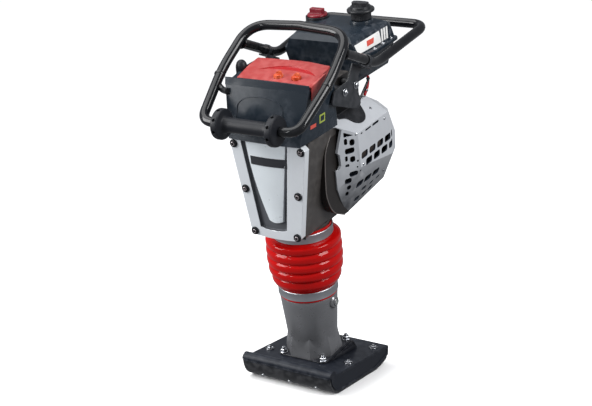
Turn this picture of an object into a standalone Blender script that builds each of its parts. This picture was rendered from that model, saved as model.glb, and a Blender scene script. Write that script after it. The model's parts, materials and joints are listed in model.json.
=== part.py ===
"""Tamping rammer: a petrol rammer on a tilted spring leg, with a bellows, a crank drive and two handle loops.

Metres, +Z up. The origin is the middle of the sole plate's underside. The front of the machine is -Y.
Everything above the shoe is modelled in the leg frame: x across, v backwards and w up along the leg.
The leg frame is the empty "leg_frame", which leans forwards by LEAN about X.
"""
import math

import bmesh
import bpy
from mathutils import Matrix, Vector

# ------------------------------------------------------------------ driving dimensions
LEAN = math.radians(11.8)          # how far the leg leans forwards
GAP = 0.0003                       # kept between pieces that touch

SHOE_HALF_WIDTH = 0.140
SHOE_REAR = 0.160
SOLE_FLAT = (-0.105, 0.080)        # the flat stretch of the sole
NOSE_R = 0.063                     # the sole's curve at the front
NOSE_TURN = math.radians(83)
TAIL_R = 0.180                     # and at the rear
TAIL_TURN = math.radians(25)
SOLE_THICKNESS = 0.007
SHOE_TOP = (0.0600, 0.0555)        # height of the top face at BEAD_AT and at SHOE_REAR
BEAD_AT = (-0.1515, 0.0570)        # the rolled edge along the front
BEAD_R = 0.0165
SHOE_BOLTS = ((0.116, 0.113), (0.121, -0.036), (-0.110, 0.113), (-0.118, -0.062))

FLANGE_TOP = 0.079
FLANGE_BOTTOM = 0.0710
FLANGE_HALF = 0.075
FLANGE_V = (-0.072, 0.081)
FLANGE_BOLTS = ((0.063, -0.059), (0.063, 0.068), (-0.063, -0.059), (-0.063, 0.068))

BORE_R = 0.052                     # inside of the spring cylinder
BORE_ROOF = 0.430
TUBE_R = 0.0615                    # upper, sliding part of the spring cylinder
TUBE_TOP = 0.455
SHOULDER_R = 0.0765                # seat of the bellows' cuffs
PISTON_R = 0.050
PISTON_W = (0.255, 0.275)
ROD_R = 0.0125
SPRING_R = 0.040
SPRING_WIRE_R = 0.0055
SPRING_TURNS = 5
WRIST_W = 0.494
WRIST_PIN_R = 0.008

BELLOWS_R = 0.1035
BELLOWS_PITCH = 0.0265
BELLOWS_FIRST = 0.313
BELLOWS_BULGES = 5
BELLOWS_VALLEY = 0.0045
BELLOWS_WALL = 0.0030
CUFF_R = 0.0795

CRANK_W = 0.572                    # crank gear's axis, which runs along v
CRANK_RADIUS = 0.033
GEAR_MODULE = 0.003
GEAR_TEETH = 40
PINION_TEETH = 11
GEAR_V = (-0.052, -0.036)
PINION_W = CRANK_W + GEAR_MODULE * (GEAR_TEETH + PINION_TEETH) / 2
ROD_HALF_THICKNESS = 0.009

CASE_BOTTOM = 0.468
CASE_TOP = 0.740
CASE_HALF_BOTTOM = 0.075
CASE_HALF_TOP = 0.111
CASE_FRONT = -0.1015
CASE_REAR = 0.040
CASE_WALL = 0.007
BELL_W = 0.605                     # the oval bell behind the crankcase, which covers the clutch
BELL = ((-0.022, 0.088, 0.108), (0.012, 0.1025, 0.130), (0.040, 0.106, 0.134))
COVER_V = (-0.124, -0.1025)
COVER_SCREWS = ((0.101, 0.725), (0.080, 0.601), (0.065, 0.482))

SHROUD_WALL = 0.003
SHROUD_HALF = 0.150

ROLLER_V = -0.194
ROLLER_W = 0.807
ROLLER_HALF = 0.091
HANDLE_R = 0.013
AXLE_R = 0.008
LOOP_SLOPE = math.radians(32.2)    # the front loop's plane, in the leg frame

FILTER_HALF = 0.125
FILTER_WALL = 0.003
LID_THICKNESS = 0.011
LID_RIM = ((0.1245, -0.0905), (0.1245, 0.010), (0.1200, 0.026), (0.050, 0.0370), (-0.001, 0.0370),
           (-0.108, 0.0315), (-0.1095, -0.012), (-0.102, -0.055), (-0.101, -0.0905))
KNOBS = ((0.012, -0.056), (0.065, -0.056))
CAP_SEAT = (-0.1275, -0.014)       # the intake cap, on an ear beside the lid
CAP_SEAT_W = 0.8745
TANK_WALL = 0.004
CAP_AT = (0.060, 0.295)
LEVER_AT = (-0.080, 0.300)
LEG_SEGMENTS = 24                  # facets round every piece that fits over another on the leg

# ------------------------------------------------------------------ scene and materials
for old in list(bpy.data.objects):
    bpy.data.objects.remove(old, do_unlink=True)

leg_frame = bpy.data.objects.new("leg_frame", None)
leg_frame.rotation_euler = (LEAN, 0.0, 0.0)
bpy.context.scene.collection.objects.link(leg_frame)

LOOKS = {                          # colour, roughness, metallic
    "shoe": ((0.035, 0.040, 0.050), 0.55, 0.0),
    "sole_steel": ((0.09, 0.09, 0.10), 0.45, 0.8),
    "cast_grey": ((0.34, 0.34, 0.35), 0.50, 0.6),
    "zinc": ((0.62, 0.62, 0.63), 0.32, 1.0),
    "spring_steel": ((0.40, 0.41, 0.43), 0.35, 1.0),
    "bronze": ((0.50, 0.36, 0.16), 0.35, 1.0),
    "red_rubber": ((0.62, 0.03, 0.025), 0.35, 0.0),
    "case_dark": ((0.17, 0.165, 0.16), 0.45, 0.5),
    "cover_silver": ((0.60, 0.61, 0.62), 0.35, 0.6),
    "gasket": ((0.03, 0.03, 0.03), 0.80, 0.0),
    "engine_alloy": ((0.42, 0.42, 0.43), 0.45, 0.8),
    "muffler_steel": ((0.20, 0.19, 0.18), 0.55, 0.8),
    "shroud_silver": ((0.62, 0.62, 0.63), 0.40, 0.1),
    "slate_plastic": ((0.050, 0.058, 0.072), 0.42, 0.0),
    "black_plastic": ((0.02, 0.02, 0.022), 0.40, 0.0),
    "black_paint": ((0.012, 0.012, 0.013), 0.20, 0.0),
    "red_plastic": ((0.60, 0.06, 0.06), 0.35, 0.0),
    "orange_plastic": ((0.85, 0.20, 0.10), 0.35, 0.0),
    "hose_red": ((0.50, 0.04, 0.04), 0.40, 0.0),
    "paper": ((0.75, 0.68, 0.48), 0.90, 0.0),
    "clear_glass": ((0.80, 0.84, 0.84), 0.05, 0.0),
}


def look(name):
    """The Principled material of one finish, made once."""
    if name in bpy.data.materials:
        return bpy.data.materials[name]
    colour, roughness, metallic = LOOKS[name]
    made = bpy.data.materials.new(name)
    made.use_nodes = True
    shader = made.node_tree.nodes["Principled BSDF"]
    shader.inputs["Base Color"].default_value = (*colour, 1.0)
    shader.inputs["Roughness"].default_value = roughness
    shader.inputs["Metallic"].default_value = metallic
    return made


# ------------------------------------------------------------------ mesh helpers
ALONG = {
    "x": Matrix.Rotation(math.pi / 2, 4, "Y"),
    "v": Matrix.Rotation(-math.pi / 2, 4, "X"),
    "w": Matrix.Identity(4),
}


def put(name, bm, finish, at=(0.0, 0.0, 0.0), parent=leg_frame):
    """Make an object of a bmesh, at a place in its parent's frame."""
    bmesh.ops.recalc_face_normals(bm, faces=bm.faces)
    mesh = bpy.data.meshes.new(name)
    bm.to_mesh(mesh)
    bm.free()
    mesh.shade_smooth()
    mesh.set_sharp_from_angle(angle=math.radians(35))
    mesh.materials.append(look(finish))
    obj = bpy.data.objects.new(name, mesh)
    obj.parent = parent
    obj.location = at
    bpy.context.scene.collection.objects.link(obj)
    return obj


def combine(target, other, operation):
    """Cut or add another object, which stays as a hidden guide."""
    other.hide_render = True
    other.display_type = "WIRE"
    step = target.modifiers.new(operation.lower(), "BOOLEAN")
    step.operation = operation
    step.solver = "EXACT"
    step.object = other


def turned(profile, segments=24, along="w"):
    """Turn a closed outline of (radius, height) points about an axis."""
    bm = bmesh.new()
    rings = []
    for radius, height in profile:
        if radius < 1e-9:
            rings.append([bm.verts.new((0.0, 0.0, height))])
            continue
        angles = [2 * math.pi * i / segments for i in range(segments)]
        rings.append([bm.verts.new((radius * math.cos(a), radius * math.sin(a), height)) for a in angles])
    for lower, upper in zip(rings, rings[1:] + rings[:1]):
        for i in range(segments):
            j = (i + 1) % segments
            if len(lower) > 1 and len(upper) > 1:
                bm.faces.new((lower[i], lower[j], upper[j], upper[i]))
            elif len(lower) > 1:
                bm.faces.new((lower[i], lower[j], upper[0]))
            elif len(upper) > 1:
                bm.faces.new((lower[0], upper[j], upper[i]))
    bm.transform(ALONG[along])
    return bm


def disc(radius, low, high, segments=24, along="w"):
    return turned([(0.0, low), (radius, low), (radius, high), (0.0, high)], segments, along)


def washer(inner, outer, low, high, segments=24, along="w"):
    return turned([(inner, low), (outer, low), (outer, high), (inner, high)], segments, along)


def extruded(outline, low, high, along="x"):
    """Extrude a flat outline: (v, w) along x, (x, w) along v or (x, v) along w."""
    place = {"x": lambda a, b, c: (c, a, b), "v": lambda a, b, c: (a, c, b), "w": lambda a, b, c: (a, b, c)}
    bm = bmesh.new()
    lower = [bm.verts.new(place[along](a, b, low)) for a, b in outline]
    upper = [bm.verts.new(place[along](a, b, high)) for a, b in outline]
    bm.faces.new(lower)
    bm.faces.new(upper)
    for i in range(len(outline)):
        j = (i + 1) % len(outline)
        bm.faces.new((lower[i], lower[j], upper[j], upper[i]))
    return bm


def box(x, v, w):
    return extruded(((x[0], v[0]), (x[1], v[0]), (x[1], v[1]), (x[0], v[1])), w[0], w[1], "w")


def hull(points):
    """The closed convex body around some points."""
    bm = bmesh.new()
    for point in points:
        bm.verts.new(point)
    result = bmesh.ops.convex_hull(bm, input=bm.verts)
    inside = [item for item in result["geom_interior"] if isinstance(item, bmesh.types.BMVert)]
    bmesh.ops.delete(bm, geom=inside, context="VERTS")
    return bm


def mirrored(points):
    """Points of the right side together with their mirror images."""
    return [(side * x, v, w) for x, v, w in points for side in (1, -1)]


def tube(path, radii, sides=10, closed=False):
    """A round tube along a path, with one radius for each point of the path."""
    bm = bmesh.new()
    path = [Vector(point) for point in path]
    count = len(path)
    rings = []
    normal = None
    for i, here in enumerate(path):
        before = path[(i - 1) % count] if closed or i > 0 else here
        after = path[(i + 1) % count] if closed or i < count - 1 else here
        tangent = (after - before).normalized()
        if normal is None:
            normal = tangent.cross(Vector((0.31, 0.53, 0.79))).normalized()
        normal = (normal - tangent * normal.dot(tangent)).normalized()
        side = tangent.cross(normal)
        ring = []
        for k in range(sides):
            angle = 2 * math.pi * k / sides
            ring.append(bm.verts.new(here + radii[i] * (math.cos(angle) * normal + math.sin(angle) * side)))
        rings.append(ring)
    if closed:
        first = rings[0]
        last = rings[-1]
        turn = min(range(sides), key=lambda k: (first[k].co - last[0].co).length)
        rings.append(first[turn:] + first[:turn])
    else:
        bm.faces.new(rings[0])
        bm.faces.new(rings[-1])
    for near, far in zip(rings, rings[1:]):
        for k in range(sides):
            m = (k + 1) % sides
            bm.faces.new((near[k], near[m], far[m], far[k]))
    return bm


def rounded(corners, radii, steps=5, closed=False):
    """A path through corners, each one replaced by an arc-like curve of its own radius."""
    corners = [Vector(corner) for corner in corners]
    count = len(corners)
    path = []
    for i, (corner, radius) in enumerate(zip(corners, radii)):
        if radius == 0 or (not closed and i in (0, count - 1)):
            path.append(corner)
            continue
        start = corner + (corners[i - 1] - corner).normalized() * radius
        end = corner + (corners[(i + 1) % count] - corner).normalized() * radius
        for k in range(steps + 1):
            t = k / steps
            path.append(start * (1 - t) ** 2 + corner * 2 * t * (1 - t) + end * t ** 2)
    return path


# ------------------------------------------------------------------ shoe, in the world frame
def shoe_top(y):
    span = (y - BEAD_AT[0]) / (SHOE_REAR - BEAD_AT[0])
    return SHOE_TOP[0] + (SHOE_TOP[1] - SHOE_TOP[0]) * span


def sole_line(offset):
    """The sole's curve from front to rear, offset inwards: two arcs joined by the flat stretch."""
    front = []
    rear = []
    for i in range(7):
        turn = NOSE_TURN * (1 - i / 6)
        front.append((SOLE_FLAT[0] - (NOSE_R - offset) * math.sin(turn), NOSE_R - (NOSE_R - offset) * math.cos(turn)))
        turn = TAIL_TURN * i / 6
        rear.append((SOLE_FLAT[1] + (TAIL_R - offset) * math.sin(turn), TAIL_R - (TAIL_R - offset) * math.cos(turn)))
    return front + rear


def make_shoe():
    half = SHOE_HALF_WIDTH - 0.002
    plate = sole_line(0.0) + sole_line(SOLE_THICKNESS)[::-1]
    put("sole_plate", extruded(plate, -half, half), "sole_steel", parent=None)
    outline = sole_line(SOLE_THICKNESS + 1.5 * GAP)
    outline += [(SHOE_REAR, 0.027), (SHOE_REAR, shoe_top(SHOE_REAR) - 0.006), (SHOE_REAR - 0.004, shoe_top(SHOE_REAR))]
    outline.append((BEAD_AT[0] + 0.027, shoe_top(BEAD_AT[0] + 0.027)))
    for degrees in range(30, 211, 30):
        turn = math.radians(degrees)
        outline.append((BEAD_AT[0] + BEAD_R * math.cos(turn), BEAD_AT[1] + BEAD_R * max(math.sin(turn), -0.02)))
    shoe = put("shoe_body", extruded(outline, -SHOE_HALF_WIDTH, SHOE_HALF_WIDTH), "shoe", parent=None)
    for number, (x, y) in enumerate(SHOE_BOLTS, 1):
        hole = disc(0.0065, -0.006, 0.02, 12)
        combine(shoe, put(f"hole_shoe_{number}", hole, "zinc", (x, y, shoe_top(y)), None), "DIFFERENCE")
        head = [(0.0, -0.0055), (0.006, -0.0055), (0.006, GAP), (0.013, GAP), (0.013, 0.003), (0.0095, 0.003)]
        head += [(0.0095, 0.009), (0.0, 0.009)]
        put(f"shoe_bolt_{number}", turned(head, 12), "zinc", (x, y, shoe_top(y) + 0.0008), None)


# ------------------------------------------------------------------ leg
def make_leg():
    wedge = [(-0.036, 0.0692), (0.0810, 0.0700), (0.0985, 0.0390), (0.0985, 0.0379)]
    put("foot_wedge", extruded(wedge, -0.078, 0.078), "cast_grey")

    flange = [(FLANGE_V[0], 0.0764), (-0.044, FLANGE_BOTTOM), (FLANGE_V[1], FLANGE_BOTTOM)]
    flange += [(FLANGE_V[1], FLANGE_TOP), (FLANGE_V[0], FLANGE_TOP)]
    profile = [(BORE_R, FLANGE_TOP - 0.001), (0.0715, FLANGE_TOP - 0.001), (0.072, 0.094), (0.070, 0.135)]
    profile.append((0.080, 0.255))
    profile += [(SHOULDER_R, 0.2555), (SHOULDER_R, 0.300), (TUBE_R, 0.304), (TUBE_R, TUBE_TOP)]
    profile += [(ROD_R + 0.0005, TUBE_TOP), (ROD_R + 0.0005, BORE_ROOF), (BORE_R, BORE_ROOF)]
    cylinder = put("spring_cylinder", turned(profile, LEG_SEGMENTS), "cast_grey")
    plate = put("guide_flange", extruded(flange, -FLANGE_HALF, FLANGE_HALF), "cast_grey")
    combine(cylinder, plate, "UNION")
    bore = put("hole_bore", disc(BORE_R - 0.0008, 0.05, FLANGE_TOP + 0.004, LEG_SEGMENTS), "cast_grey")
    combine(cylinder, bore, "DIFFERENCE")
    for number, (x, v) in enumerate(FLANGE_BOLTS, 1):
        nut = [(0.0, 0.0), (0.012, 0.0), (0.012, 0.002), (0.009, 0.002), (0.009, 0.011), (0.0, 0.011)]
        put(f"flange_nut_{number}", turned(nut, 12), "zinc", (x, v, FLANGE_TOP + GAP))
    glass = disc(0.009, 0.0, 0.010, 16, "x")
    put("sight_glass", glass, "clear_glass", (0.0803, 0.0, 0.235))
    band = washer(CUFF_R + GAP, 0.0825, 0.262, 0.286, LEG_SEGMENTS)
    put("lower_clamp", band, "zinc")


def spring(name, low, high):
    """A helical spring between two heights, its wire clear of both seats."""
    low += SPRING_WIRE_R + 2 * GAP
    high -= SPRING_WIRE_R + 2 * GAP
    count = SPRING_TURNS * 12
    path = []
    for i in range(count + 1):
        angle = 2 * math.pi * SPRING_TURNS * i / count
        height = low + (high - low) * i / count
        path.append((SPRING_R * math.cos(angle), SPRING_R * math.sin(angle), height))
    put(name, tube(path, [SPRING_WIRE_R] * len(path), 6), "spring_steel")


def make_piston():
    profile = [(0.0, PISTON_W[0]), (PISTON_R, PISTON_W[0]), (PISTON_R, PISTON_W[1]), (ROD_R, PISTON_W[1])]
    profile += [(ROD_R, WRIST_W - 0.016), (0.0, WRIST_W - 0.016)]
    rod = put("piston_rod", turned(profile, 24), "spring_steel")
    fork = put("guide_fork", box((-0.014, 0.014), (-0.0185, 0.0185), (WRIST_W - 0.020, WRIST_W + 0.014)), "zinc")
    combine(rod, fork, "UNION")
    half = ROD_HALF_THICKNESS + 0.0005
    slot = put("hole_fork", box((-0.02, 0.02), (-half, half), (WRIST_W - 0.0155, WRIST_W + 0.03)), "zinc")
    combine(rod, slot, "DIFFERENCE")
    bore = put("hole_wrist", disc(WRIST_PIN_R + GAP, -0.03, 0.03, 16, "v"), "zinc", (0.0, 0.0, WRIST_W))
    combine(rod, bore, "DIFFERENCE")
    put("wrist_pin", disc(WRIST_PIN_R, -0.018, 0.018, 16, "v"), "zinc", (0.0, 0.0, WRIST_W))
    spring("lower_spring", FLANGE_BOTTOM, PISTON_W[0])
    spring("upper_spring", PISTON_W[1], BORE_ROOF)


def make_connecting_rod():
    half = ROD_HALF_THICKNESS
    length = CRANK_W + CRANK_RADIUS - WRIST_W
    at = (0.0, 0.0, WRIST_W)
    rod = put("connecting_rod", disc(0.0140, -half, half, 20, "v"), "engine_alloy", at)
    shank = [(-0.010, 0.004), (0.010, 0.004), (0.008, length - 0.010), (-0.008, length - 0.010)]
    combine(rod, put("guide_shank", extruded(shank, -half + 0.002, half - 0.002, "v"), "zinc", at), "UNION")
    big = (0.0, 0.0, WRIST_W + length)
    combine(rod, put("guide_big_end", disc(0.0165, -half, half, 20, "v"), "zinc", big), "UNION")
    combine(rod, put("hole_small", disc(WRIST_PIN_R + 0.0004, -0.03, 0.03, 16, "v"), "zinc", at), "DIFFERENCE")
    combine(rod, put("hole_big", disc(0.0105, -0.03, 0.03, 16, "v"), "zinc", big), "DIFFERENCE")


# ------------------------------------------------------------------ crank drive
def gear_outline(teeth, thickness, phase):
    """Straight-flanked teeth on a pitch circle; phase 0 puts a tooth on +w."""
    pitch_r = GEAR_MODULE * teeth / 2
    root_r = pitch_r - 1.0 * GEAR_MODULE
    tip_r = pitch_r + 0.8 * GEAR_MODULE
    slope = math.tan(math.radians(20))
    half = {root_r: thickness / 2 + (pitch_r - root_r) * slope, tip_r: thickness / 2 - (tip_r - pitch_r) * slope}
    outline = []
    for tooth in range(teeth):
        middle = math.pi / 2 + phase + 2 * math.pi * tooth / teeth
        for radius, side in ((root_r, -1), (tip_r, -1), (tip_r, 1), (root_r, 1)):
            angle = middle + side * half[radius] / radius
            outline.append((radius * math.cos(angle), radius * math.sin(angle)))
    return outline


def make_crank():
    at = (0.0, 0.0, CRANK_W)
    gear = put("crank_gear", extruded(gear_outline(GEAR_TEETH, 0.0040, 0.0), *GEAR_V, "v"), "spring_steel", at)
    shaft = put("guide_crank_shaft", disc(0.014, -0.100, -0.045, 20, "v"), "zinc", at)
    combine(gear, shaft, "UNION")
    pin = put("guide_crank_pin", disc(0.010, -0.040, -ROD_HALF_THICKNESS - 0.0015, 16, "v"), "zinc",
              (0.0, 0.0, CRANK_W + CRANK_RADIUS))
    combine(gear, pin, "UNION")


def make_clutch():
    at = (0.0, 0.0, PINION_W)
    shaft_r = 0.009
    cup = [(0.0, -0.045), (shaft_r, -0.045), (shaft_r, 0.062), (0.045, 0.062), (0.045, 0.100), (0.041, 0.100)]
    cup += [(0.041, 0.066), (0.0, 0.066)]
    drum = put("clutch_drum", turned(cup, 24, "v"), "cast_grey", at)
    teeth = gear_outline(PINION_TEETH, 0.0036, math.pi + math.pi / PINION_TEETH)
    pinion = put("guide_pinion", extruded(teeth, GEAR_V[0] - 0.001, GEAR_V[1] + 0.001, "v"), "zinc", at)
    combine(drum, pinion, "UNION")

    rotor = [(0.0, 0.069), (0.036, 0.069), (0.036, 0.096), (0.010, 0.096), (0.010, 0.298), (0.0, 0.298)]
    put("crankshaft", turned(rotor, 20, "v"), "spring_steel", at)
    wheel = washer(0.0103, 0.050, 0.257, 0.277, 28, "v")
    put("flywheel", wheel, "engine_alloy", at)


# ------------------------------------------------------------------ crankcase and bellows
def case_half(w):
    """Half of the crankcase's width at a height."""
    return CASE_HALF_BOTTOM + (CASE_HALF_TOP - CASE_HALF_BOTTOM) * (w - CASE_BOTTOM) / (CASE_TOP - CASE_BOTTOM)


def case_outline(inset, low, high):
    """The tapered front outline, in x and w, inset from the outside."""
    return [(-case_half(low) + inset, low), (case_half(low) - inset, low),
            (case_half(high) - inset, high), (-case_half(high) + inset, high)]


def bell(inset, low, high):
    """A loft of upright ovals about the clutch's height, between two places along v."""
    sections = [(low, BELL[0][1] - inset, BELL[0][2] - inset)]
    sections += [(v, x - inset, w - inset) for v, x, w in BELL if low < v < high]
    sections.append((high, BELL[-1][1] - inset, BELL[-1][2] - inset))
    steps = 28
    bm = bmesh.new()
    rings = []
    for v, half_x, half_w in sections:
        angles = [2 * math.pi * i / steps for i in range(steps)]
        rings.append([bm.verts.new((half_x * math.cos(a), v, BELL_W + half_w * math.sin(a))) for a in angles])
    for near, far in zip(rings, rings[1:]):
        for i in range(steps):
            j = (i + 1) % steps
            bm.faces.new((near[i], near[j], far[j], far[i]))
    bm.faces.new(rings[0])
    bm.faces.new(rings[-1])
    return bm


def make_crankcase():
    outline = case_outline(0.0, CASE_BOTTOM, CASE_TOP)
    case = put("crankcase", extruded(outline, CASE_FRONT, CASE_REAR, "v"), "case_dark")
    tail = [(-0.02, CASE_BOTTOM), (0.088, CASE_BOTTOM), (0.070, 0.520), (0.030, 0.600)]
    combine(case, put("guide_tail", extruded(tail, -0.0745, 0.0745), "case_dark"), "UNION")
    bridge = [(0.036, CASE_TOP - 0.012), (0.0395, CASE_TOP - 0.012), (0.055, 0.776), (0.150, 0.776), (0.150, 0.846)]
    bridge.append((0.036, 0.846))
    combine(case, put("guide_bridge", extruded(bridge, -0.094, 0.094), "case_dark"), "UNION")
    neck = put("guide_neck", disc(SHOULDER_R, 0.424, CASE_BOTTOM + 0.004, LEG_SEGMENTS), "case_dark")
    combine(case, neck, "UNION")
    combine(case, put("guide_bell", bell(0.0, BELL[0][0], BELL[-1][0]), "case_dark"), "UNION")
    inner = case_outline(CASE_WALL, CASE_BOTTOM + CASE_WALL, CASE_TOP - CASE_WALL)
    cavity = put("hole_cavity", extruded(inner, CASE_FRONT - 0.02, CASE_REAR - CASE_WALL, "v"), "case_dark")
    combine(case, cavity, "DIFFERENCE")
    hollow = put("hole_bell", bell(CASE_WALL, BELL[0][0] - 0.010, CASE_REAR - CASE_WALL), "case_dark")
    combine(case, hollow, "DIFFERENCE")
    shell = put("guide_clutch_shell", washer(0.049, 0.055, CASE_REAR - 0.004, 0.104, 24, "v"), "case_dark",
                (0.0, 0.0, PINION_W))
    combine(case, shell, "UNION")
    bore = put("hole_neck", disc(0.0700, 0.40, CASE_BOTTOM + 0.05, LEG_SEGMENTS), "case_dark")
    combine(case, bore, "DIFFERENCE")
    shaft = put("hole_shaft", disc(0.012, 0.0, 0.06, 20, "v"), "case_dark", (0.0, 0.0, PINION_W))
    combine(case, shaft, "DIFFERENCE")
    put("guide_tube", washer(0.0625, 0.0697, 0.345, 0.480, LEG_SEGMENTS), "bronze")

    outer = case_outline(0.0, CASE_BOTTOM, CASE_TOP)
    gasket = put("cover_gasket", extruded(outer, CASE_FRONT - 0.0008, CASE_FRONT - GAP, "v"), "gasket")
    window = case_outline(CASE_WALL, CASE_BOTTOM + CASE_WALL, CASE_TOP - CASE_WALL)
    combine(gasket, put("hole_gasket", extruded(window, -0.2, 0.0, "v"), "gasket"), "DIFFERENCE")

    half_top = 0.113
    half_bottom = 0.077
    edge = 0.012
    face = [(-half_bottom + edge, CASE_BOTTOM), (half_bottom - edge, CASE_BOTTOM), (half_bottom, CASE_BOTTOM + edge)]
    face += [(half_top, CASE_TOP - edge), (half_top - edge, CASE_TOP), (-half_top + edge, CASE_TOP)]
    face += [(-half_top, CASE_TOP - edge), (-half_bottom, CASE_BOTTOM + edge)]
    cover = put("front_cover", extruded(face, COVER_V[0], CASE_FRONT - 0.0011, "v"), "cover_silver")
    recess = [(-0.039, 0.494), (0.039, 0.494), (0.068, CASE_TOP + 0.01), (-0.068, CASE_TOP + 0.01)]
    combine(cover, put("hole_recess", extruded(recess, -0.13, COVER_V[0] + 0.006, "v"), "gasket"), "DIFFERENCE")
    panel = [(-0.019, 0.520), (0.019, 0.520), (0.060, CASE_TOP - 0.001), (-0.060, CASE_TOP - 0.001)]
    combine(cover, put("guide_panel", extruded(panel, COVER_V[0] + 0.001, -0.110, "v"), "gasket"), "UNION")
    boss = put("guide_boss", washer(0.0145, 0.026, -0.106, -0.080, 24, "v"), "gasket", (0.0, 0.0, CRANK_W))
    combine(cover, boss, "UNION")
    for number, (x, w) in enumerate(COVER_SCREWS, 1):
        for side, word in ((1, "right"), (-1, "left")):
            head = [(0.0, 0.0), (0.0080, 0.0), (0.0080, -0.002), (0.0058, -0.002), (0.0058, -0.007), (0.0, -0.007)]
            place = (side * x, COVER_V[0] - GAP, w)
            put(f"cover_screw_{word}_{number}", turned(head, 12, "v"), "zinc", place)


def make_bellows():
    """Two cuffs joined by bulges of one pitch, with a wall of even thickness."""
    half = BELLOWS_PITCH / 2
    outer = [(CUFF_R, 0.257), (CUFF_R, 0.290), (BELLOWS_R - BELLOWS_VALLEY - 0.003, BELLOWS_FIRST - half)]
    for bulge in range(BELLOWS_BULGES):
        middle = BELLOWS_FIRST + bulge * BELLOWS_PITCH
        outer.append((BELLOWS_R, middle - 0.25 * BELLOWS_PITCH))
        outer.append((BELLOWS_R, middle + 0.25 * BELLOWS_PITCH))
        outer.append((BELLOWS_R - BELLOWS_VALLEY, middle + half))
    outer += [(CUFF_R, 0.4325), (CUFF_R, 0.463)]
    inner = []
    for radius, height in reversed(outer):
        inner.append((max(radius - BELLOWS_WALL, SHOULDER_R + GAP), height))
    put("bellows", turned(outer + inner, LEG_SEGMENTS), "red_rubber")
    put("upper_clamp", washer(CUFF_R + GAP, 0.0830, 0.433, 0.457, LEG_SEGMENTS), "zinc")


# ------------------------------------------------------------------ engine
def make_engine():
    at = (0.0, 0.0, PINION_W)
    block = put("engine_block", box((-0.058, 0.058), (0.110, 0.255), (0.575, 0.712)), "engine_alloy")
    barrel = put("guide_barrel", box((-0.105, -0.050), (0.135, 0.230), (0.610, 0.705)), "engine_alloy")
    combine(block, barrel, "UNION")
    combine(block, put("hole_crank", disc(0.0115, 0.05, 0.35, 20, "v"), "zinc", at), "DIFFERENCE")
    put("muffler", box((0.062, 0.122), (0.120, 0.240), (0.600, 0.690)), "muffler_steel")
    put("carburettor", box((-0.045, 0.020), (0.115, 0.170), (0.525, 0.571)), "engine_alloy")

    side = [(SHROUD_HALF, 0.076, 0.705), (SHROUD_HALF, 0.241, 0.705), (SHROUD_HALF, 0.265, 0.586),
            (SHROUD_HALF, 0.088, 0.600)]
    rim = [(0.106, 0.043, 0.738), (0.100, 0.070, 0.752), (0.100, 0.220, 0.752), (0.110, 0.312, 0.684),
           (0.110, 0.342, 0.557), (0.105, 0.272, 0.493), (0.106, 0.082, 0.474), (0.110, 0.046, 0.545),
           (0.112, 0.041, 0.620)]
    shroud = put("engine_shroud", hull(mirrored(side + rim)), "shroud_silver")
    inner = []
    for x, v, w in side + rim:
        deep = 0.06 if v < 0.10 else SHROUD_WALL
        inner.append((x - 1.6 * SHROUD_WALL, v - deep if v < 0.10 else v - 2 * SHROUD_WALL,
                      w - 1.6 * SHROUD_WALL * (1 if w > 0.62 else -1)))
    combine(shroud, put("hole_shroud", hull(mirrored(inner)), "shroud_silver"), "DIFFERENCE")
    under = put("hole_under", box((-0.080, 0.080), (0.0, 0.094), (0.44, 0.560)), "shroud_silver")
    combine(shroud, under, "DIFFERENCE")

    dish = [(0.0, 0.3425), (0.070, 0.3425), (0.070, 0.352), (0.058, 0.366), (0.0, 0.366)]
    housing = put("recoil_housing", turned(dish, 24, "v"), "black_plastic", (0.0, 0.0, 0.622))
    seat = put("hole_grip_seat", box((0.006, 0.038), (0.350, 0.380), (0.655, 0.700)), "black_plastic")
    combine(housing, seat, "DIFFERENCE")
    grip = put("recoil_grip", box((-0.012, 0.012), (0.0, 0.012), (0.0, 0.026)), "black_plastic", (0.022, 0.3515, 0.6565))
    stub = put("guide_grip", box((-0.016, 0.016), (0.012, 0.022), (0.004, 0.022)), "black_plastic",
               (0.022, 0.3510, 0.6565))
    combine(grip, stub, "UNION")


# ------------------------------------------------------------------ handles
def on_loop(x, along):
    """A point of the front loop's plane: along is measured up the slope from the roller."""
    return (x, ROLLER_V + along * math.cos(LOOP_SLOPE), ROLLER_W + along * math.sin(LOOP_SLOPE))


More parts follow.
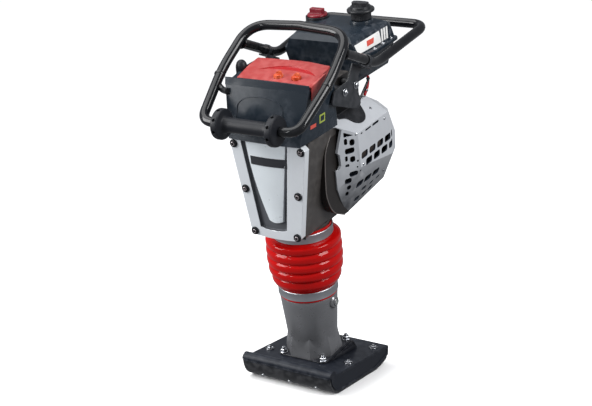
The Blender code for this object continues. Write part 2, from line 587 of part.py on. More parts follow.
def make_handles():
    right = [on_loop(ROLLER_HALF + 0.0015, 0.0), on_loop(ROLLER_HALF + 0.0020, 0.0), on_loop(0.143, 0.004)]
    right += [on_loop(0.162, 0.165), on_loop(0.150, 0.318), on_loop(0.0, 0.3285)]
    corners = right[:-1] + [right[-1]] + [(-x, v, w) for x, v, w in reversed(right[:-1])]
    bends = [0, 0, 0.030, 0.045, 0.062, 0, 0.062, 0.045, 0.030, 0, 0]
    path = rounded(corners, bends, 6)
    radii = [HANDLE_R] * len(path)
    radii[0] = radii[-1] = AXLE_R
    put("front_loop", tube(path, radii, 10, closed=True), "black_paint")

    weld = Vector((0.1545, 0.0235, 0.944))
    kink = Vector((0.152, 0.194, 0.858))
    start = weld + (kink - weld).normalized() * 0.0245
    right = [tuple(start), tuple(kink), (0.165, 0.462, 0.880)]
    corners = right + [(-x, v, w) for x, v, w in reversed(right)]
    path = rounded(corners, [0, 0.035, 0.045, 0.045, 0.035, 0], 6)
    put("rear_loop", tube(path, [HANDLE_R] * len(path), 10), "black_paint")

    spool = [(AXLE_R + 0.0006, -ROLLER_HALF), (0.036, -ROLLER_HALF), (0.040, -0.085), (0.040, -0.073)]
    spool += [(0.036, -0.069), (0.021, -0.067), (0.019, -0.050), (0.019, 0.050), (0.021, 0.067), (0.036, 0.069)]
    spool += [(0.040, 0.073), (0.040, 0.085), (0.036, ROLLER_HALF), (AXLE_R + 0.0006, ROLLER_HALF)]
    put("front_roller", turned(spool, 24, "x"), "black_plastic", (0.0, ROLLER_V, ROLLER_W))

    slope = (kink - weld).normalized()
    down = Vector((0.0, slope.z, -slope.y))
    for side, word in ((1, "right"), (-1, "left")):
        near = weld + slope * 0.105 + down * 0.0140
        far = weld + slope * 0.168 + down * 0.0140
        plate = [(-0.007, 0.812), (0.156, 0.741), (0.223, 0.806), (0.205, 0.836), (far.y, far.z), (near.y, near.z)]
        plate += [(0.080, 0.846), (0.010, 0.842)]
        low, high = sorted((side * 0.1280, side * 0.1320))
        bracket = put(f"side_bracket_{word}", extruded(plate, low, high), "black_paint")
        shelf = [(near.y, near.z), (far.y, far.z), (far.y, far.z - 0.005), (near.y, near.z - 0.005)]
        low, high = sorted((side * 0.1285, side * 0.1560))
        combine(bracket, put(f"guide_shelf_{word}", extruded(shelf, low, high), "black_paint"), "UNION")
        for number, v in ((1, 0.060), (2, 0.116)):
            hole = put(f"hole_mount_{word}_{number}", disc(0.0075, -0.02, 0.02, 12, "x"), "zinc",
                       (side * 0.130, v, 0.823))
            combine(bracket, hole, "DIFFERENCE")
            mount = [(0.0, 0.0945), (0.016, 0.0945), (0.016, 0.1275), (0.006, 0.1275), (0.006, 0.1325)]
            mount += [(0.011, 0.1325), (0.011, 0.139), (0.0, 0.139)]
            mount = [(radius, side * height) for radius, height in mount]
            put(f"rubber_mount_{word}_{number}", turned(mount, 12, "x"), "gasket", (0.0, v, 0.823))


# ------------------------------------------------------------------ air filter
def lid_height(v):
    """Underside of the filter lid, which rises towards the rear."""
    return 0.8775 + (v + 0.095) * 0.130


def make_filter():
    lower = [(FILTER_HALF - 0.019, -0.138, 0.742), (FILTER_HALF - 0.012, -0.060, 0.742), (0.118, 0.033, 0.742)]
    upper = [(FILTER_HALF, -0.099, 0.0), (FILTER_HALF, 0.010, 0.0), (0.119, 0.033, 0.0)]
    upper = [(x, v, lid_height(v) - GAP) for x, v, w in upper]
    housing = put("filter_housing", hull(mirrored(lower + upper)), "slate_plastic")
    lip = [(-0.1005, 0.872), (-0.0950, 0.8925), (-0.0920, 0.8925), (-0.0920, 0.872)]
    combine(housing, put("guide_lip", extruded(lip, -FILTER_HALF, FILTER_HALF), "slate_plastic"), "UNION")
    ear = put("guide_ear", disc(0.0165, 0.850, CAP_SEAT_W, 24), "slate_plastic", (*CAP_SEAT, 0.0))
    combine(housing, ear, "UNION")
    pocket = put("hole_pocket", disc(0.0168, CAP_SEAT_W, 0.92, 24), "slate_plastic", (*CAP_SEAT, 0.0))
    combine(housing, pocket, "DIFFERENCE")
    inset = FILTER_WALL * 1.5
    low_in = [(x - inset, v + (inset if v < 0 else -inset), w + FILTER_WALL) for x, v, w in lower]
    top_in = [(x - inset, v + (inset if v < 0 else -inset), w - FILTER_WALL) for x, v, w in upper]
    combine(housing, put("hole_filter", hull(mirrored(low_in + top_in)), "slate_plastic"), "DIFFERENCE")
    mouth = [(x * 0.90, -0.030 + (v + 0.030) * 0.86) for x, v in LID_RIM]
    combine(housing, put("hole_mouth", extruded(mouth, 0.860, 0.920, "w"), "slate_plastic"), "DIFFERENCE")
    put("filter_element", box((-0.095, 0.095), (-0.095, 0.020), (0.750, 0.850)), "paper")

    points = [(x, v, lid_height(v)) for x, v in LID_RIM]
    points += [(x * 0.96, v * 0.94, lid_height(v) + LID_THICKNESS) for x, v in LID_RIM]
    lid = put("filter_lid", hull(points), "red_plastic", (0.0, 0.0, 0.0))
    for word, (x, v) in zip(("left", "right"), KNOBS):
        base = lid_height(v) + LID_THICKNESS
        seat = put(f"hole_knob_{word}", disc(0.0115, -0.005, 0.02, 16), "zinc", (x, v, base))
        combine(lid, seat, "DIFFERENCE")
        dial = put(f"lid_knob_{word}", disc(0.0105, -0.0045, 0.004, 16), "orange_plastic", (x, v, base))
        combine(dial, put(f"guide_wing_{word}", box((-0.009, 0.009), (-0.003, 0.003), (0.0, 0.011)), "zinc",
                          (x, v, base)), "UNION")
    dome = [(0.0, 0.0), (0.0140, 0.0), (0.0145, 0.014), (0.0135, 0.024), (0.0090, 0.033), (0.0, 0.036)]
    put("intake_cap", turned(dome, 16), "black_plastic", (*CAP_SEAT, CAP_SEAT_W + GAP))


# ------------------------------------------------------------------ fuel tank
def make_tank():
    base = [(0.094, 0.182, 0.800), (0.100, 0.352, 0.800), (0.112, 0.176, 0.874), (0.128, 0.350, 0.876)]
    crown = [(0.096, 0.174, 0.911), (0.118, 0.330, 0.927), (0.112, 0.354, 0.918), (0.080, 0.190, 0.924)]
    crown += [(0.085, 0.320, 0.936)]
    outer = base + crown
    tank = put("fuel_tank", hull(mirrored(outer)), "slate_plastic")
    ledge = [(-0.128, 0.205), (0.128, 0.205), (0.136, 0.225), (0.136, 0.350), (0.128, 0.358), (-0.128, 0.358)]
    ledge += [(-0.136, 0.350), (-0.136, 0.225)]
    combine(tank, put("guide_ledge", extruded(ledge, 0.872, 0.880, "w"), "slate_plastic"), "UNION")
    inner = []
    for x, v, w in outer:
        inner.append((x - 1.5 * TANK_WALL, v + TANK_WALL * (1.4 if v < 0.26 else -1.4),
                      w + TANK_WALL * (1.5 if w < 0.85 else -1.5 if w > 0.90 else 0.0)))
    x, v = CAP_AT
    neck = put("guide_neck_ring", disc(0.030, 0.915, 0.9405, 20), "slate_plastic", (x, v, 0.0))
    combine(tank, neck, "UNION")
    combine(tank, put("hole_tank", hull(mirrored(inner)), "slate_plastic"), "DIFFERENCE")
    combine(tank, put("hole_filler", disc(0.022, 0.88, 0.96, 20), "slate_plastic", (x, v, 0.0)), "DIFFERENCE")

    cap = [(0.0, 0.0002), (0.030, 0.0002), (0.030, 0.0205), (0.0375, 0.0215), (0.0375, 0.0285), (0.027, 0.0300)]
    cap += [(0.026, 0.0360), (0.0, 0.0360)]
    lid = put("fuel_cap", turned(cap, 20), "black_plastic", (x, v, 0.9408))
    rib = put("guide_rib", box((-0.023, 0.023), (-0.006, 0.006), (0.030, 0.046)), "black_plastic", (x, v, 0.9408))
    combine(lid, rib, "UNION")

    x, v = LEVER_AT
    foot = 0.9375
    put_lever = put("throttle_lever", disc(0.028, 0.0, 0.007, 20), "red_plastic", (x, v, foot))
    block = put("guide_block", box((-0.020, 0.020), (-0.0085, 0.0085), (0.004, 0.020)), "red_plastic", (x, v, foot))
    combine(put_lever, block, "UNION")

    path = rounded([(0.098, 0.240, 0.799), (0.100, 0.232, 0.778), (0.098, 0.214, 0.7575)], [0, 0.012, 0], 4)
    put("fuel_hose", tube(path, [0.004] * len(path), 8), "hose_red")


make_shoe()
make_leg()
make_piston()
make_connecting_rod()
make_crank()
make_clutch()
make_crankcase()
make_bellows()
make_engine()
make_handles()
make_filter()
make_tank()
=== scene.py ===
"""Looks of the tamping rammer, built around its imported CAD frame.

Metres, in the frame's axes. Points written (x, v, w) are in the leg frame: x across, v backwards and w up
along the leg, which leans forwards. The shoe is built in the frame's own axes.
"""

import json
import math

import bmesh
import bpy
from mathutils import Matrix, Vector
from mathutils.bvhtree import BVHTree


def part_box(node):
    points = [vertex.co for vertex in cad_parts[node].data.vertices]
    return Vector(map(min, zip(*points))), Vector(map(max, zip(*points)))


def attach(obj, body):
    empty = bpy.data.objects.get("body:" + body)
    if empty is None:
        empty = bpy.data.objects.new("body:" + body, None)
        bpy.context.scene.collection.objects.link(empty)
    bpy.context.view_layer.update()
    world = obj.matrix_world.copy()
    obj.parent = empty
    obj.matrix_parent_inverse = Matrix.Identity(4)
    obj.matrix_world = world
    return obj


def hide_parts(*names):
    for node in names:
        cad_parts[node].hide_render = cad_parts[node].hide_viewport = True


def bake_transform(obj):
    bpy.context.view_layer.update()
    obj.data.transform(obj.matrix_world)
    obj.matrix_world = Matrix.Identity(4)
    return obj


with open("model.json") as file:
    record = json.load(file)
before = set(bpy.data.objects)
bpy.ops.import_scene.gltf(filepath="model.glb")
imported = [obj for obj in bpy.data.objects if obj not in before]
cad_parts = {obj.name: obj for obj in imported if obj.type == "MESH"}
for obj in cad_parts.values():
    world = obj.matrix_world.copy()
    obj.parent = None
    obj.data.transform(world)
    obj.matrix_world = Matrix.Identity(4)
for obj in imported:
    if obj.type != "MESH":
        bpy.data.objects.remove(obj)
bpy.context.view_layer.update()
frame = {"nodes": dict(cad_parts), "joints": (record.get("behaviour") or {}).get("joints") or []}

# ------------------------------------------------------------------ the leg frame, from the ramming joint
stroke = next(joint for joint in frame["joints"] if joint["name"] == "ram_stroke")
LEG_UP = -Vector(stroke["axis"]).normalized()
ACROSS = Vector((1.0, 0.0, 0.0))
LEG_BACK = LEG_UP.cross(ACROSS)
LEG = Matrix((ACROSS, LEG_BACK, LEG_UP)).transposed().to_4x4()
LEG_INVERSE = LEG.inverted()


def leg_box(node):
    """A CAD node's lowest and highest corners in the leg frame."""
    points = [LEG_INVERSE @ vertex.co for vertex in frame["nodes"][node].data.vertices]
    low = Vector([min(point[k] for point in points) for k in range(3)])
    high = Vector([max(point[k] for point in points) for k in range(3)])
    return low, high


def leg_middle(node):
    low, high = leg_box(node)
    return (low + high) / 2


def leg_seat(node):
    """The middle of a CAD node's foot in the leg frame."""
    low, high = leg_box(node)
    return ((low.x + high.x) / 2, (low.y + high.y) / 2, low.z)


# ------------------------------------------------------------------ camera, lights and floor
AZIMUTH = math.radians(31.61)
ELEVATION = math.radians(14.27)
ROLL = math.radians(0.83)
LOOK_AT = Vector((0.0, 0.0, 0.5))
DISTANCE, SHIFT_RIGHT, SHIFT_UP = 3.82, 0.0658, 0.0155
right = Vector((math.cos(AZIMUTH), math.sin(AZIMUTH), 0.0))
back = Vector((math.sin(AZIMUTH) * math.cos(ELEVATION), -math.cos(AZIMUTH) * math.cos(ELEVATION),
        math.sin(ELEVATION)))
upward = back.cross(right)
camera_right = right * math.cos(ROLL) + upward * math.sin(ROLL)
camera_up = upward * math.cos(ROLL) - right * math.sin(ROLL)
eye = LOOK_AT - camera_right * SHIFT_RIGHT - camera_up * SHIFT_UP + back * DISTANCE
camera = bpy.data.objects.new("camera", bpy.data.cameras.new("camera"))
camera.data.lens = 85.39
camera.data.sensor_width = 36.0
camera.data.clip_end = 200.0
camera.matrix_world = Matrix((camera_right, camera_up, back)).transposed().to_4x4()
camera.location = eye
bpy.context.scene.collection.objects.link(camera)
bpy.context.scene.camera = camera
bpy.context.scene.view_settings.view_transform = "Standard"
bpy.context.scene.view_settings.look = "None"


LIGHT_TARGET = Vector((0.0, -0.05, 0.55))


def lamp(name, kind, power, at, size):
    """A light that looks at the machine's middle; a sun's size is its angle."""
    data = bpy.data.lights.new(name, kind)
    data.energy = power
    if kind == "AREA":
        data.shape = "RECTANGLE"
        data.size, data.size_y = size
    else:
        data.angle = size[0]
    light = bpy.data.objects.new(name, data)
    light.location = at
    light.rotation_euler = (Vector(at) - LIGHT_TARGET).to_track_quat("Z", "Y").to_euler()
    bpy.context.scene.collection.objects.link(light)
    return light


lamp("overhead", "SUN", 2.9, (-0.9, -0.5, 3.0), size=(math.radians(60), 0.0))
lamp("key_softbox", "AREA", 74.0, (-1.7, -1.75, 1.4), size=(1.2, 1.7))
lamp("right_softbox", "AREA", 78.0, (2.4, -0.15, 2.4), size=(1.3, 1.6))
lamp("right_strip", "AREA", 8.0, (2.6, -0.55, 1.3), size=(0.08, 1.5))
lamp("front_strip", "AREA", 10.0, (-0.8, -3.0, 1.5), size=(0.08, 1.2))
lamp("rear_fill", "AREA", 14.0, (-1.0, 2.8, 1.6), size=(1.6, 1.6)).visible_glossy = False
world = bpy.data.worlds.new("studio")
world.use_nodes = True
world.node_tree.nodes["Background"].inputs["Color"].default_value = (0.93, 0.95, 1.0, 1.0)
world.node_tree.nodes["Background"].inputs["Strength"].default_value = 0.34
bpy.context.scene.world = world


# ------------------------------------------------------------------ materials
def link(tree, source, output, target, socket):
    tree.links.new(source.outputs[output], target.inputs[socket])


def remap(tree, source, output, low, high, to_low, to_high):
    node = tree.nodes.new("ShaderNodeMapRange")
    for socket, value in (("From Min", low), ("From Max", high), ("To Min", to_low), ("To Max", to_high)):
        node.inputs[socket].default_value = value
    link(tree, source, output, node, "Value")
    return node


def noise(tree, vector, scale, detail=3.0, rough=0.55):
    node = tree.nodes.new("ShaderNodeTexNoise")
    node.inputs["Scale"].default_value = scale
    node.inputs["Detail"].default_value = detail
    node.inputs["Roughness"].default_value = rough
    tree.links.new(vector, node.inputs["Vector"])
    return node


def height_of(tree, socket, *limits):
    """Map a vector's Z component onto a range."""
    split = tree.nodes.new("ShaderNodeSeparateXYZ")
    tree.links.new(socket, split.inputs[0])
    return remap(tree, split, 2, *limits)


def facing(tree, *limits):
    """Map how far a face looks up onto a range."""
    normal = tree.nodes.new("ShaderNodeNewGeometry")
    return height_of(tree, normal.outputs["Normal"], *limits)


def product(tree, first, second):
    node = tree.nodes.new("ShaderNodeMath")
    node.operation = "MULTIPLY"
    link(tree, first, 0, node, 0)
    link(tree, second, 0, node, 1)
    return node


def mixed(tree, factor, first, second):
    """Mix two colours; each is a colour or the socket of one."""
    node = tree.nodes.new("ShaderNodeMix")
    node.data_type = "RGBA"
    link(tree, factor, 0, node, 0)
    for index, colour in ((6, first), (7, second)):
        if isinstance(colour, tuple):
            node.inputs[index].default_value = (*colour, 1.0)
        else:
            tree.links.new(colour, node.inputs[index])
    return node.outputs[2]


# colour of the painted shade laid on faces that look down
PAINTED_SHADE_COLOUR = (0.014, 0.016, 0.02)


def skin(name, colour, rough, metal=0.0, shift=0.1, cloud=9.0, grain=700.0, bump=0.25, depth=0.0002,
        ripple=0.04, rub=None, rubbed=0.6, dust=0.0, dust_colour=(0.35, 0.33, 0.3), painted_shade=0.0, stretch=None,
        clear=0.0, spec=0.4):
    """A procedural finish: clouded colour, uneven gloss and fine grain, with rubbed edges where rub has a
    colour, dust on what faces up, and painted shade on what faces down, strongest low down."""
    made = bpy.data.materials.new(name)
    made.use_nodes = True
    tree = made.node_tree
    shader = tree.nodes["Principled BSDF"]
    shader.inputs["Metallic"].default_value = metal
    shader.inputs["Specular IOR Level"].default_value = spec
    shader.inputs["Coat Roughness"].default_value = 0.12
    shader.inputs["Transmission Weight"].default_value = clear
    place = tree.nodes.new("ShaderNodeTexCoord").outputs["Object"]
    grain_place = place
    if stretch:
        mapping = tree.nodes.new("ShaderNodeMapping")
        mapping.inputs["Scale"].default_value = stretch
        tree.links.new(place, mapping.inputs["Vector"])
        grain_place = mapping.outputs["Vector"]
    clouds = noise(tree, place, cloud, 4.0)
    blotches = noise(tree, place, cloud * 6, 3.0, 0.5)
    fine = noise(tree, grain_place, grain, 2.0)
    spread = remap(tree, clouds, 0, 0.3, 0.7, 0.0, 1.0)
    darker = tuple(c * (1 - shift) for c in colour)
    lighter = tuple(min(c * (1 + shift), 1.0) for c in colour)
    tone = mixed(tree, spread, darker, lighter)
    if dust:
        up = facing(tree, 0.2, 1.0, 0.0, dust)
        patchy = remap(tree, blotches, 0, 0.35, 0.7, 0.15, 1.0)
        tone = mixed(tree, product(tree, up, patchy), tone, dust_colour)
    # painted shade: faces that look down are darkened, more so lower down
    if painted_shade:
        under = facing(tree, 0.1, -0.32, 0.0, 1.0)
        low = height_of(tree, place, 0.64, 0.5, 0.4 * painted_shade, painted_shade)
        tone = mixed(tree, product(tree, under, low), tone, PAINTED_SHADE_COLOUR)
    if rub:
        edge = tree.nodes.new("ShaderNodeNewGeometry")
        sharp = remap(tree, edge, "Pointiness", 0.51, 0.6, 0.0, rubbed)
        broken = remap(tree, blotches, 0, 0.42, 0.62, 0.0, 1.0)
        tone = mixed(tree, product(tree, sharp, broken), tone, rub)
    tree.links.new(tone, shader.inputs["Base Color"])
    gloss = remap(tree, blotches, 0, 0.3, 0.7, max(rough - ripple, 0.03), min(rough + ripple, 1.0))
    link(tree, gloss, 0, shader, "Roughness")
    relief = tree.nodes.new("ShaderNodeBump")
    relief.inputs["Strength"].default_value = bump
    relief.inputs["Distance"].default_value = depth
    link(tree, fine, 0, relief, "Height")
    link(tree, relief, "Normal", shader, "Normal")
    return made


STEEL_RUB = (0.45, 0.45, 0.46)
BRUSHED = (60.0, 60.0, 900.0)
LOOKS = {
    "shoe": skin("shoe_paint", (0.009, 0.011, 0.016), 0.34, bump=0.12, grain=420.0, depth=0.0004,
        rub=(0.13, 0.14, 0.16), rubbed=0.3, ripple=0.012, spec=0.11),
    "sole": skin("sole_steel", (0.012, 0.013, 0.015), 0.44, 0.1, rub=(0.16, 0.16, 0.17), bump=0.4,
        grain=300.0, ripple=0.1, spec=0.3),
    "flange": skin("flange_paint", (0.012, 0.013, 0.017), 0.32, bump=0.35, grain=380.0, depth=0.0004,
        rub=(0.12, 0.12, 0.13), spec=0.3),
    "casting": skin("leg_casting", (0.195, 0.198, 0.208), 0.3, 0.6, bump=0.3, grain=420.0, depth=0.0004,
        shift=0.12, rub=(0.32, 0.32, 0.33), rubbed=0.4),
    "zinc": skin("zinc_plate", (0.36, 0.37, 0.39), 0.2, 1.0, bump=0.12, stretch=BRUSHED, grain=2.0,
        shift=0.06),
    "bolt": skin("blackened_screw", (0.3, 0.27, 0.28), 0.25, 0.9, bump=0.15, rub=(0.35, 0.3, 0.3)),
    "band": skin("clamp_steel", (0.37, 0.38, 0.4), 0.44, 1.0, bump=0.2, stretch=(30.0, 30.0, 1400.0),
        grain=1.0),
    "steel": skin("spring_steel", (0.33, 0.34, 0.36), 0.33, 1.0, bump=0.2, grain=900.0, rub=STEEL_RUB),
    "bronze": skin("guide_bronze", (0.46, 0.31, 0.14), 0.36, 1.0, bump=0.2, stretch=BRUSHED, grain=2.0),
    "rubber_red": skin("bellows_rubber", (0.4, 0.0024, 0.002), 0.11, shift=0.08, bump=0.04, grain=500.0,
        ripple=0.03, rub=(0.6, 0.02, 0.015), rubbed=0.3, spec=0.2),
    "case": skin("crankcase_paint", (0.044, 0.04, 0.038), 0.38, 0.15, grain=520.0, depth=0.0004,
        rub=(0.17, 0.16, 0.15), rubbed=0.5, spec=0.3),
    "skirt": skin("crankcase_skirt_paint", (0.016, 0.014, 0.013), 0.38, 0.15, bump=0.2, grain=520.0,
        depth=0.0004, spec=0.25),
    # lighter than the case: a painted highlight along the bell's rim
    "lip": skin("bell_lip_painted_highlight", (0.14, 0.125, 0.12), 0.34, 0.1, bump=0.2, grain=520.0, spec=0.35),
    "silver": skin("cover_silver_paint", (0.66, 0.69, 0.72), 0.33, 0.3, bump=0.07, grain=900.0,
        depth=0.00012, shift=0.05, ripple=0.05, rub=(0.6, 0.62, 0.64), rubbed=0.5),
    "panel": skin("cover_panel_paint", (0.7, 0.75, 0.78), 0.29, 0.3, bump=0.02, grain=900.0, depth=0.00012,
        shift=0.05, ripple=0.02),
    # dark grey recess: part paint, part painted shade in the cover's recess
    "recess": skin("cover_recess_paint_and_shade", (0.085, 0.09, 0.1), 0.45, 0.25, bump=0.35, grain=600.0, spec=0.3),
    "badge": skin("badge_plate", (0.03, 0.032, 0.037), 0.33, 0.3, bump=0.15, stretch=(900.0, 40.0, 40.0),
        grain=1.5),
    "gasket": skin("gasket_fibre", (0.03, 0.03, 0.03), 0.8, bump=0.5),
    "rubber": skin("black_rubber", (0.01, 0.011, 0.014), 0.42, grain=600.0, shift=0.15, spec=0.18),
    "alloy": skin("engine_alloy", (0.3, 0.3, 0.31), 0.42, 0.9, bump=0.5, grain=420.0, depth=0.0004,
        dust=0.1),
    "muffler": skin("muffler_steel", (0.12, 0.1, 0.09), 0.5, 0.8, bump=0.4, shift=0.25),
    "iron": skin("cast_iron", (0.14, 0.14, 0.15), 0.45, 0.8, bump=0.5, grain=420.0, depth=0.0004),
    # painted shade darkens the shroud's lower, down-facing faces
    "shroud": skin("shroud_plastic", (0.5, 0.52, 0.55), 0.32, 0.2, painted_shade=0.97, bump=0.07, grain=1100.0,
        depth=0.0001, shift=0.06, rub=(0.52, 0.53, 0.55), rubbed=0.5, dust=0.08,
        dust_colour=(0.3, 0.29, 0.28)),
    # near-black painted shade for vents, slots, openings and insides
    "painted_shade_hollow": skin("shroud_inside_painted_shade", (0.02, 0.026, 0.038), 0.6, bump=0.3, spec=0.2),
    "slate": skin("slate_plastic", (0.0105, 0.016, 0.023), 0.25, bump=0.03, ripple=0.006, grain=1300.0,
        depth=0.0001, shift=0.05, dust=0.04, dust_colour=(0.1, 0.115, 0.13), rub=(0.1, 0.11, 0.13),
        rubbed=0.5, spec=0.2),
    "black": skin("black_plastic", (0.008, 0.009, 0.011), 0.34, bump=0.3, grain=900.0,
        rub=(0.05, 0.05, 0.055), spec=0.3),
    "paint": skin("tube_paint", (0.005, 0.0055, 0.007), 0.14, bump=0.05, grain=350.0, shift=0.2,
        rub=(0.05, 0.05, 0.05), rubbed=0.5, ripple=0.02, spec=0.3),
    "plate": skin("bracket_paint", (0.014, 0.016, 0.019), 0.34, grain=450.0, dust=0.05,
        rub=(0.08, 0.08, 0.09), spec=0.3),
    "red": skin("lid_plastic", (0.3, 0.032, 0.03), 0.36, bump=0.05, ripple=0.02, grain=1100.0, depth=0.0001,
        shift=0.07, rub=(0.66, 0.2, 0.18), rubbed=0.5, dust=0.12, dust_colour=(0.42, 0.2, 0.19), spec=0.3),
    "red_dark": skin("recess_plastic", (0.3, 0.006, 0.008), 0.36, grain=1100.0, spec=0.3),
    "lever": skin("lever_plastic", (0.15, 0.007, 0.015), 0.3, grain=900.0, rub=(0.5, 0.08, 0.08),
        spec=0.35),
    "orange": skin("knob_plastic", (0.44, 0.048, 0.012), 0.24, bump=0.2, grain=900.0, rub=(0.9, 0.3, 0.15)),
    "hose": skin("hose_rubber", (0.3, 0.006, 0.01), 0.34, bump=0.2, grain=700.0),
    "paper": skin("filter_paper", (0.62, 0.54, 0.36), 0.9, bump=0.5, grain=300.0, shift=0.12),
    "glass": skin("sight_glass", (0.55, 0.58, 0.55), 0.1, bump=0.05, clear=0.6),
    "white": skin("label_white", (0.66, 0.66, 0.65), 0.3, bump=0.05, shift=0.03),
    "mark": skin("label_red", (0.5, 0.07, 0.05), 0.3, bump=0.05),
    "tag": skin("label_green", (0.28, 0.34, 0.05), 0.35, bump=0.05),
    "rope": skin("starter_rope", (0.3, 0.29, 0.27), 0.8, bump=0.9, grain=900.0, depth=0.0006),
}
floor_look = skin("studio_floor", (0.9, 0.9, 0.9), 0.75, shift=0.01, cloud=0.6, bump=0.02, ripple=0.03)

floor_mesh = bpy.data.meshes.new("floor")
reach = 60.0
corners = [(-reach, -reach, 0.0), (reach, -reach, 0.0), (reach, reach, 0.0), (-reach, reach, 0.0)]
floor_mesh.from_pydata(corners, [], [(0, 1, 2, 3)])
floor_mesh.materials.append(floor_look)
floor = bpy.data.objects.new("floor", floor_mesh)
bpy.context.scene.collection.objects.link(floor)
floor.visible_diffuse = False
floor.visible_glossy = False

# ------------------------------------------------------------------ mesh helpers
ALONG = {"x": Matrix.Rotation(math.pi / 2, 4, "Y"), "v": Matrix.Rotation(-math.pi / 2, 4, "X"),
        "w": Matrix.Identity(4),}


def circle(count, phase=0.0):
    """Even angles once round."""
    return [phase + 2 * math.pi * k / count for k in range(count)]


def join(bm, one, other):
    """Faces between two closed rows with as many vertices."""
    for k in range(len(one)):
        m = (k + 1) % len(one)
        bm.faces.new((one[k], one[m], other[m], other[k]))


def turned(profile, segments=64, along="w", phase=0.0):
    """Turn a closed outline of (radius, height) points about an axis."""
    bm = bmesh.new()
    rings = []
    for radius, height in profile:
        if radius < 1e-9:
            rings.append([bm.verts.new((0.0, 0.0, height))])
            continue
        rings.append([bm.verts.new((radius * math.cos(a), radius * math.sin(a),
                height)) for a in circle(segments, phase)])
    for lower, upper in zip(rings, rings[1:] + rings[:1]):
        if len(lower) > 1 and len(upper) > 1:
            join(bm, lower, upper)
            continue
        for i in range(segments):
            j = (i + 1) % segments
            if len(lower) > 1:
                bm.faces.new((lower[i], lower[j], upper[0]))
            elif len(upper) > 1:
                bm.faces.new((lower[0], upper[j], upper[i]))
    bm.transform(ALONG[along])
    return bm


def spun(profile, segments=64, along="w"):
    """A solid of revolution: the outline is closed by flat ends on the axis."""
    return turned([(0.0, profile[0][1]), *profile, (0.0, profile[-1][1])], segments, along)


def disc(radius, low, high, segments=48, along="w"):
    return spun([(radius, low), (radius, high)], segments, along)


def ring(inner, outer, low, high, segments=64, along="w"):
    return turned([(inner, low), (outer, low), (outer, high), (inner, high)], segments, along)


def slab(outline, origin, first, second, low, high):
    """A prism on a flat outline drawn in the plane of two directions, between two heights off that plane."""
    origin, first, second = Vector(origin), Vector(first).normalized(), Vector(second)
    second = (second - first * second.dot(first)).normalized()
    normal = first.cross(second)
    bm = bmesh.new()
    levels = []
    for height in (low, high):
        levels.append([bm.verts.new(origin + a * first + b * second + height * normal) for a, b in outline])
    bm.faces.new(levels[0])
    bm.faces.new(levels[1])
    join(bm, *levels)
    return bm


def side_prism(outline, low, high):
    """A prism on a (v, w) outline between two places across."""
    return slab(outline, (0, 0, 0), (0, 1, 0), (0, 0, 1), low, high)


def front_prism(outline, low, high):
    """A prism on an (x, w) outline between two places along v."""
    return slab(outline, (0, 0, 0), (1, 0, 0), (0, 0, 1), -high, -low)


def plan_prism(outline, low, high):
    return slab(outline, (0, 0, 0), (1, 0, 0), (0, 1, 0), low, high)


def box(x, v, w):
    return plan_prism(((x[0], v[0]), (x[1], v[0]), (x[1], v[1]), (x[0], v[1])), w[0], w[1])


def hull(points):
    bm = bmesh.new()
    for point in points:
        bm.verts.new(point)
    result = bmesh.ops.convex_hull(bm, input=bm.verts)
    inside = [item for item in result["geom_interior"] if isinstance(item, bmesh.types.BMVert)]
    bmesh.ops.delete(bm, geom=inside, context="VERTS")
    bmesh.ops.dissolve_limit(bm, angle_limit=math.radians(0.3), verts=bm.verts, edges=bm.edges)
    return bm


def mirrored(points):
    return [(side * x, v, w) for x, v, w in points for side in (1, -1)]


def tube(path, radii, sides=24, closed=False):
    """A round tube along a path; radii is one number or one for each point."""
    bm = bmesh.new()
    path = [Vector(point) for point in path]
    count = len(path)
    if not isinstance(radii, (list, tuple)):
        radii = [radii] * count
    rings = []
    normal = None
    for i, here in enumerate(path):
        before = path[(i - 1) % count] if closed or i > 0 else here
        after = path[(i + 1) % count] if closed or i < count - 1 else here
        tangent = (after - before).normalized()
        if normal is None:
            normal = tangent.cross(Vector((0.31, 0.53, 0.79))).normalized()
        normal = (normal - tangent * normal.dot(tangent)).normalized()
        side = tangent.cross(normal)
        rings.append([bm.verts.new(here + radii[i] * (math.cos(a) * normal + math.sin(a) * side))
                for a in circle(sides)])
    if closed:
        turn = min(range(sides), key=lambda k: (rings[0][k].co - rings[-1][0].co).length)
        rings.append(rings[0][turn:] + rings[0][:turn])
    else:
        bm.faces.new(rings[0])
        bm.faces.new(rings[-1])
    for near, far in zip(rings, rings[1:]):
        join(bm, near, far)
    return bm


def rounded(corners, radii, steps=8, closed=False):
    """A path through corners, each one eased by a curve that starts its own distance before it.

    The distances at an edge's two ends must not add up to more than the edge, or the path crosses itself.
    """
    corners = [Vector(corner) for corner in corners]
    count = len(corners)
    path = []
    for i, (corner, radius) in enumerate(zip(corners, radii)):
        if radius == 0 or (not closed and i in (0, count - 1)):
            path.append(corner)
            continue
        start = corner + (corners[i - 1] - corner).normalized() * radius
        end = corner + (corners[(i + 1) % count] - corner).normalized() * radius
        for k in range(steps + 1):
            t = k / steps
            path.append(start * (1 - t) ** 2 + corner * 2 * t * (1 - t) + end * t ** 2)
    return path


def eased(corners, radius, steps=6):
    """A closed flat outline with rounded corners; radius is one number or one for each corner."""
    radii = radius if isinstance(radius, (list, tuple)) else [radius] * len(corners)
    points = rounded([(a, b, 0.0) for a, b in corners], radii, steps, closed=True)
    return [(point.x, point.y) for point in points]


def pill(a, b, half_a, half_b, radius=None, skew=0.0):
    """A rounded rectangle about a point, sheared along its first direction."""
    radius = min(half_a, half_b) * 0.98 if radius is None else radius
    corners = [(a - half_a - skew, b - half_b), (a + half_a - skew, b - half_b),
            (a + half_a + skew, b + half_b), (a - half_a + skew, b + half_b)]
    return eased(corners, radius, 5)


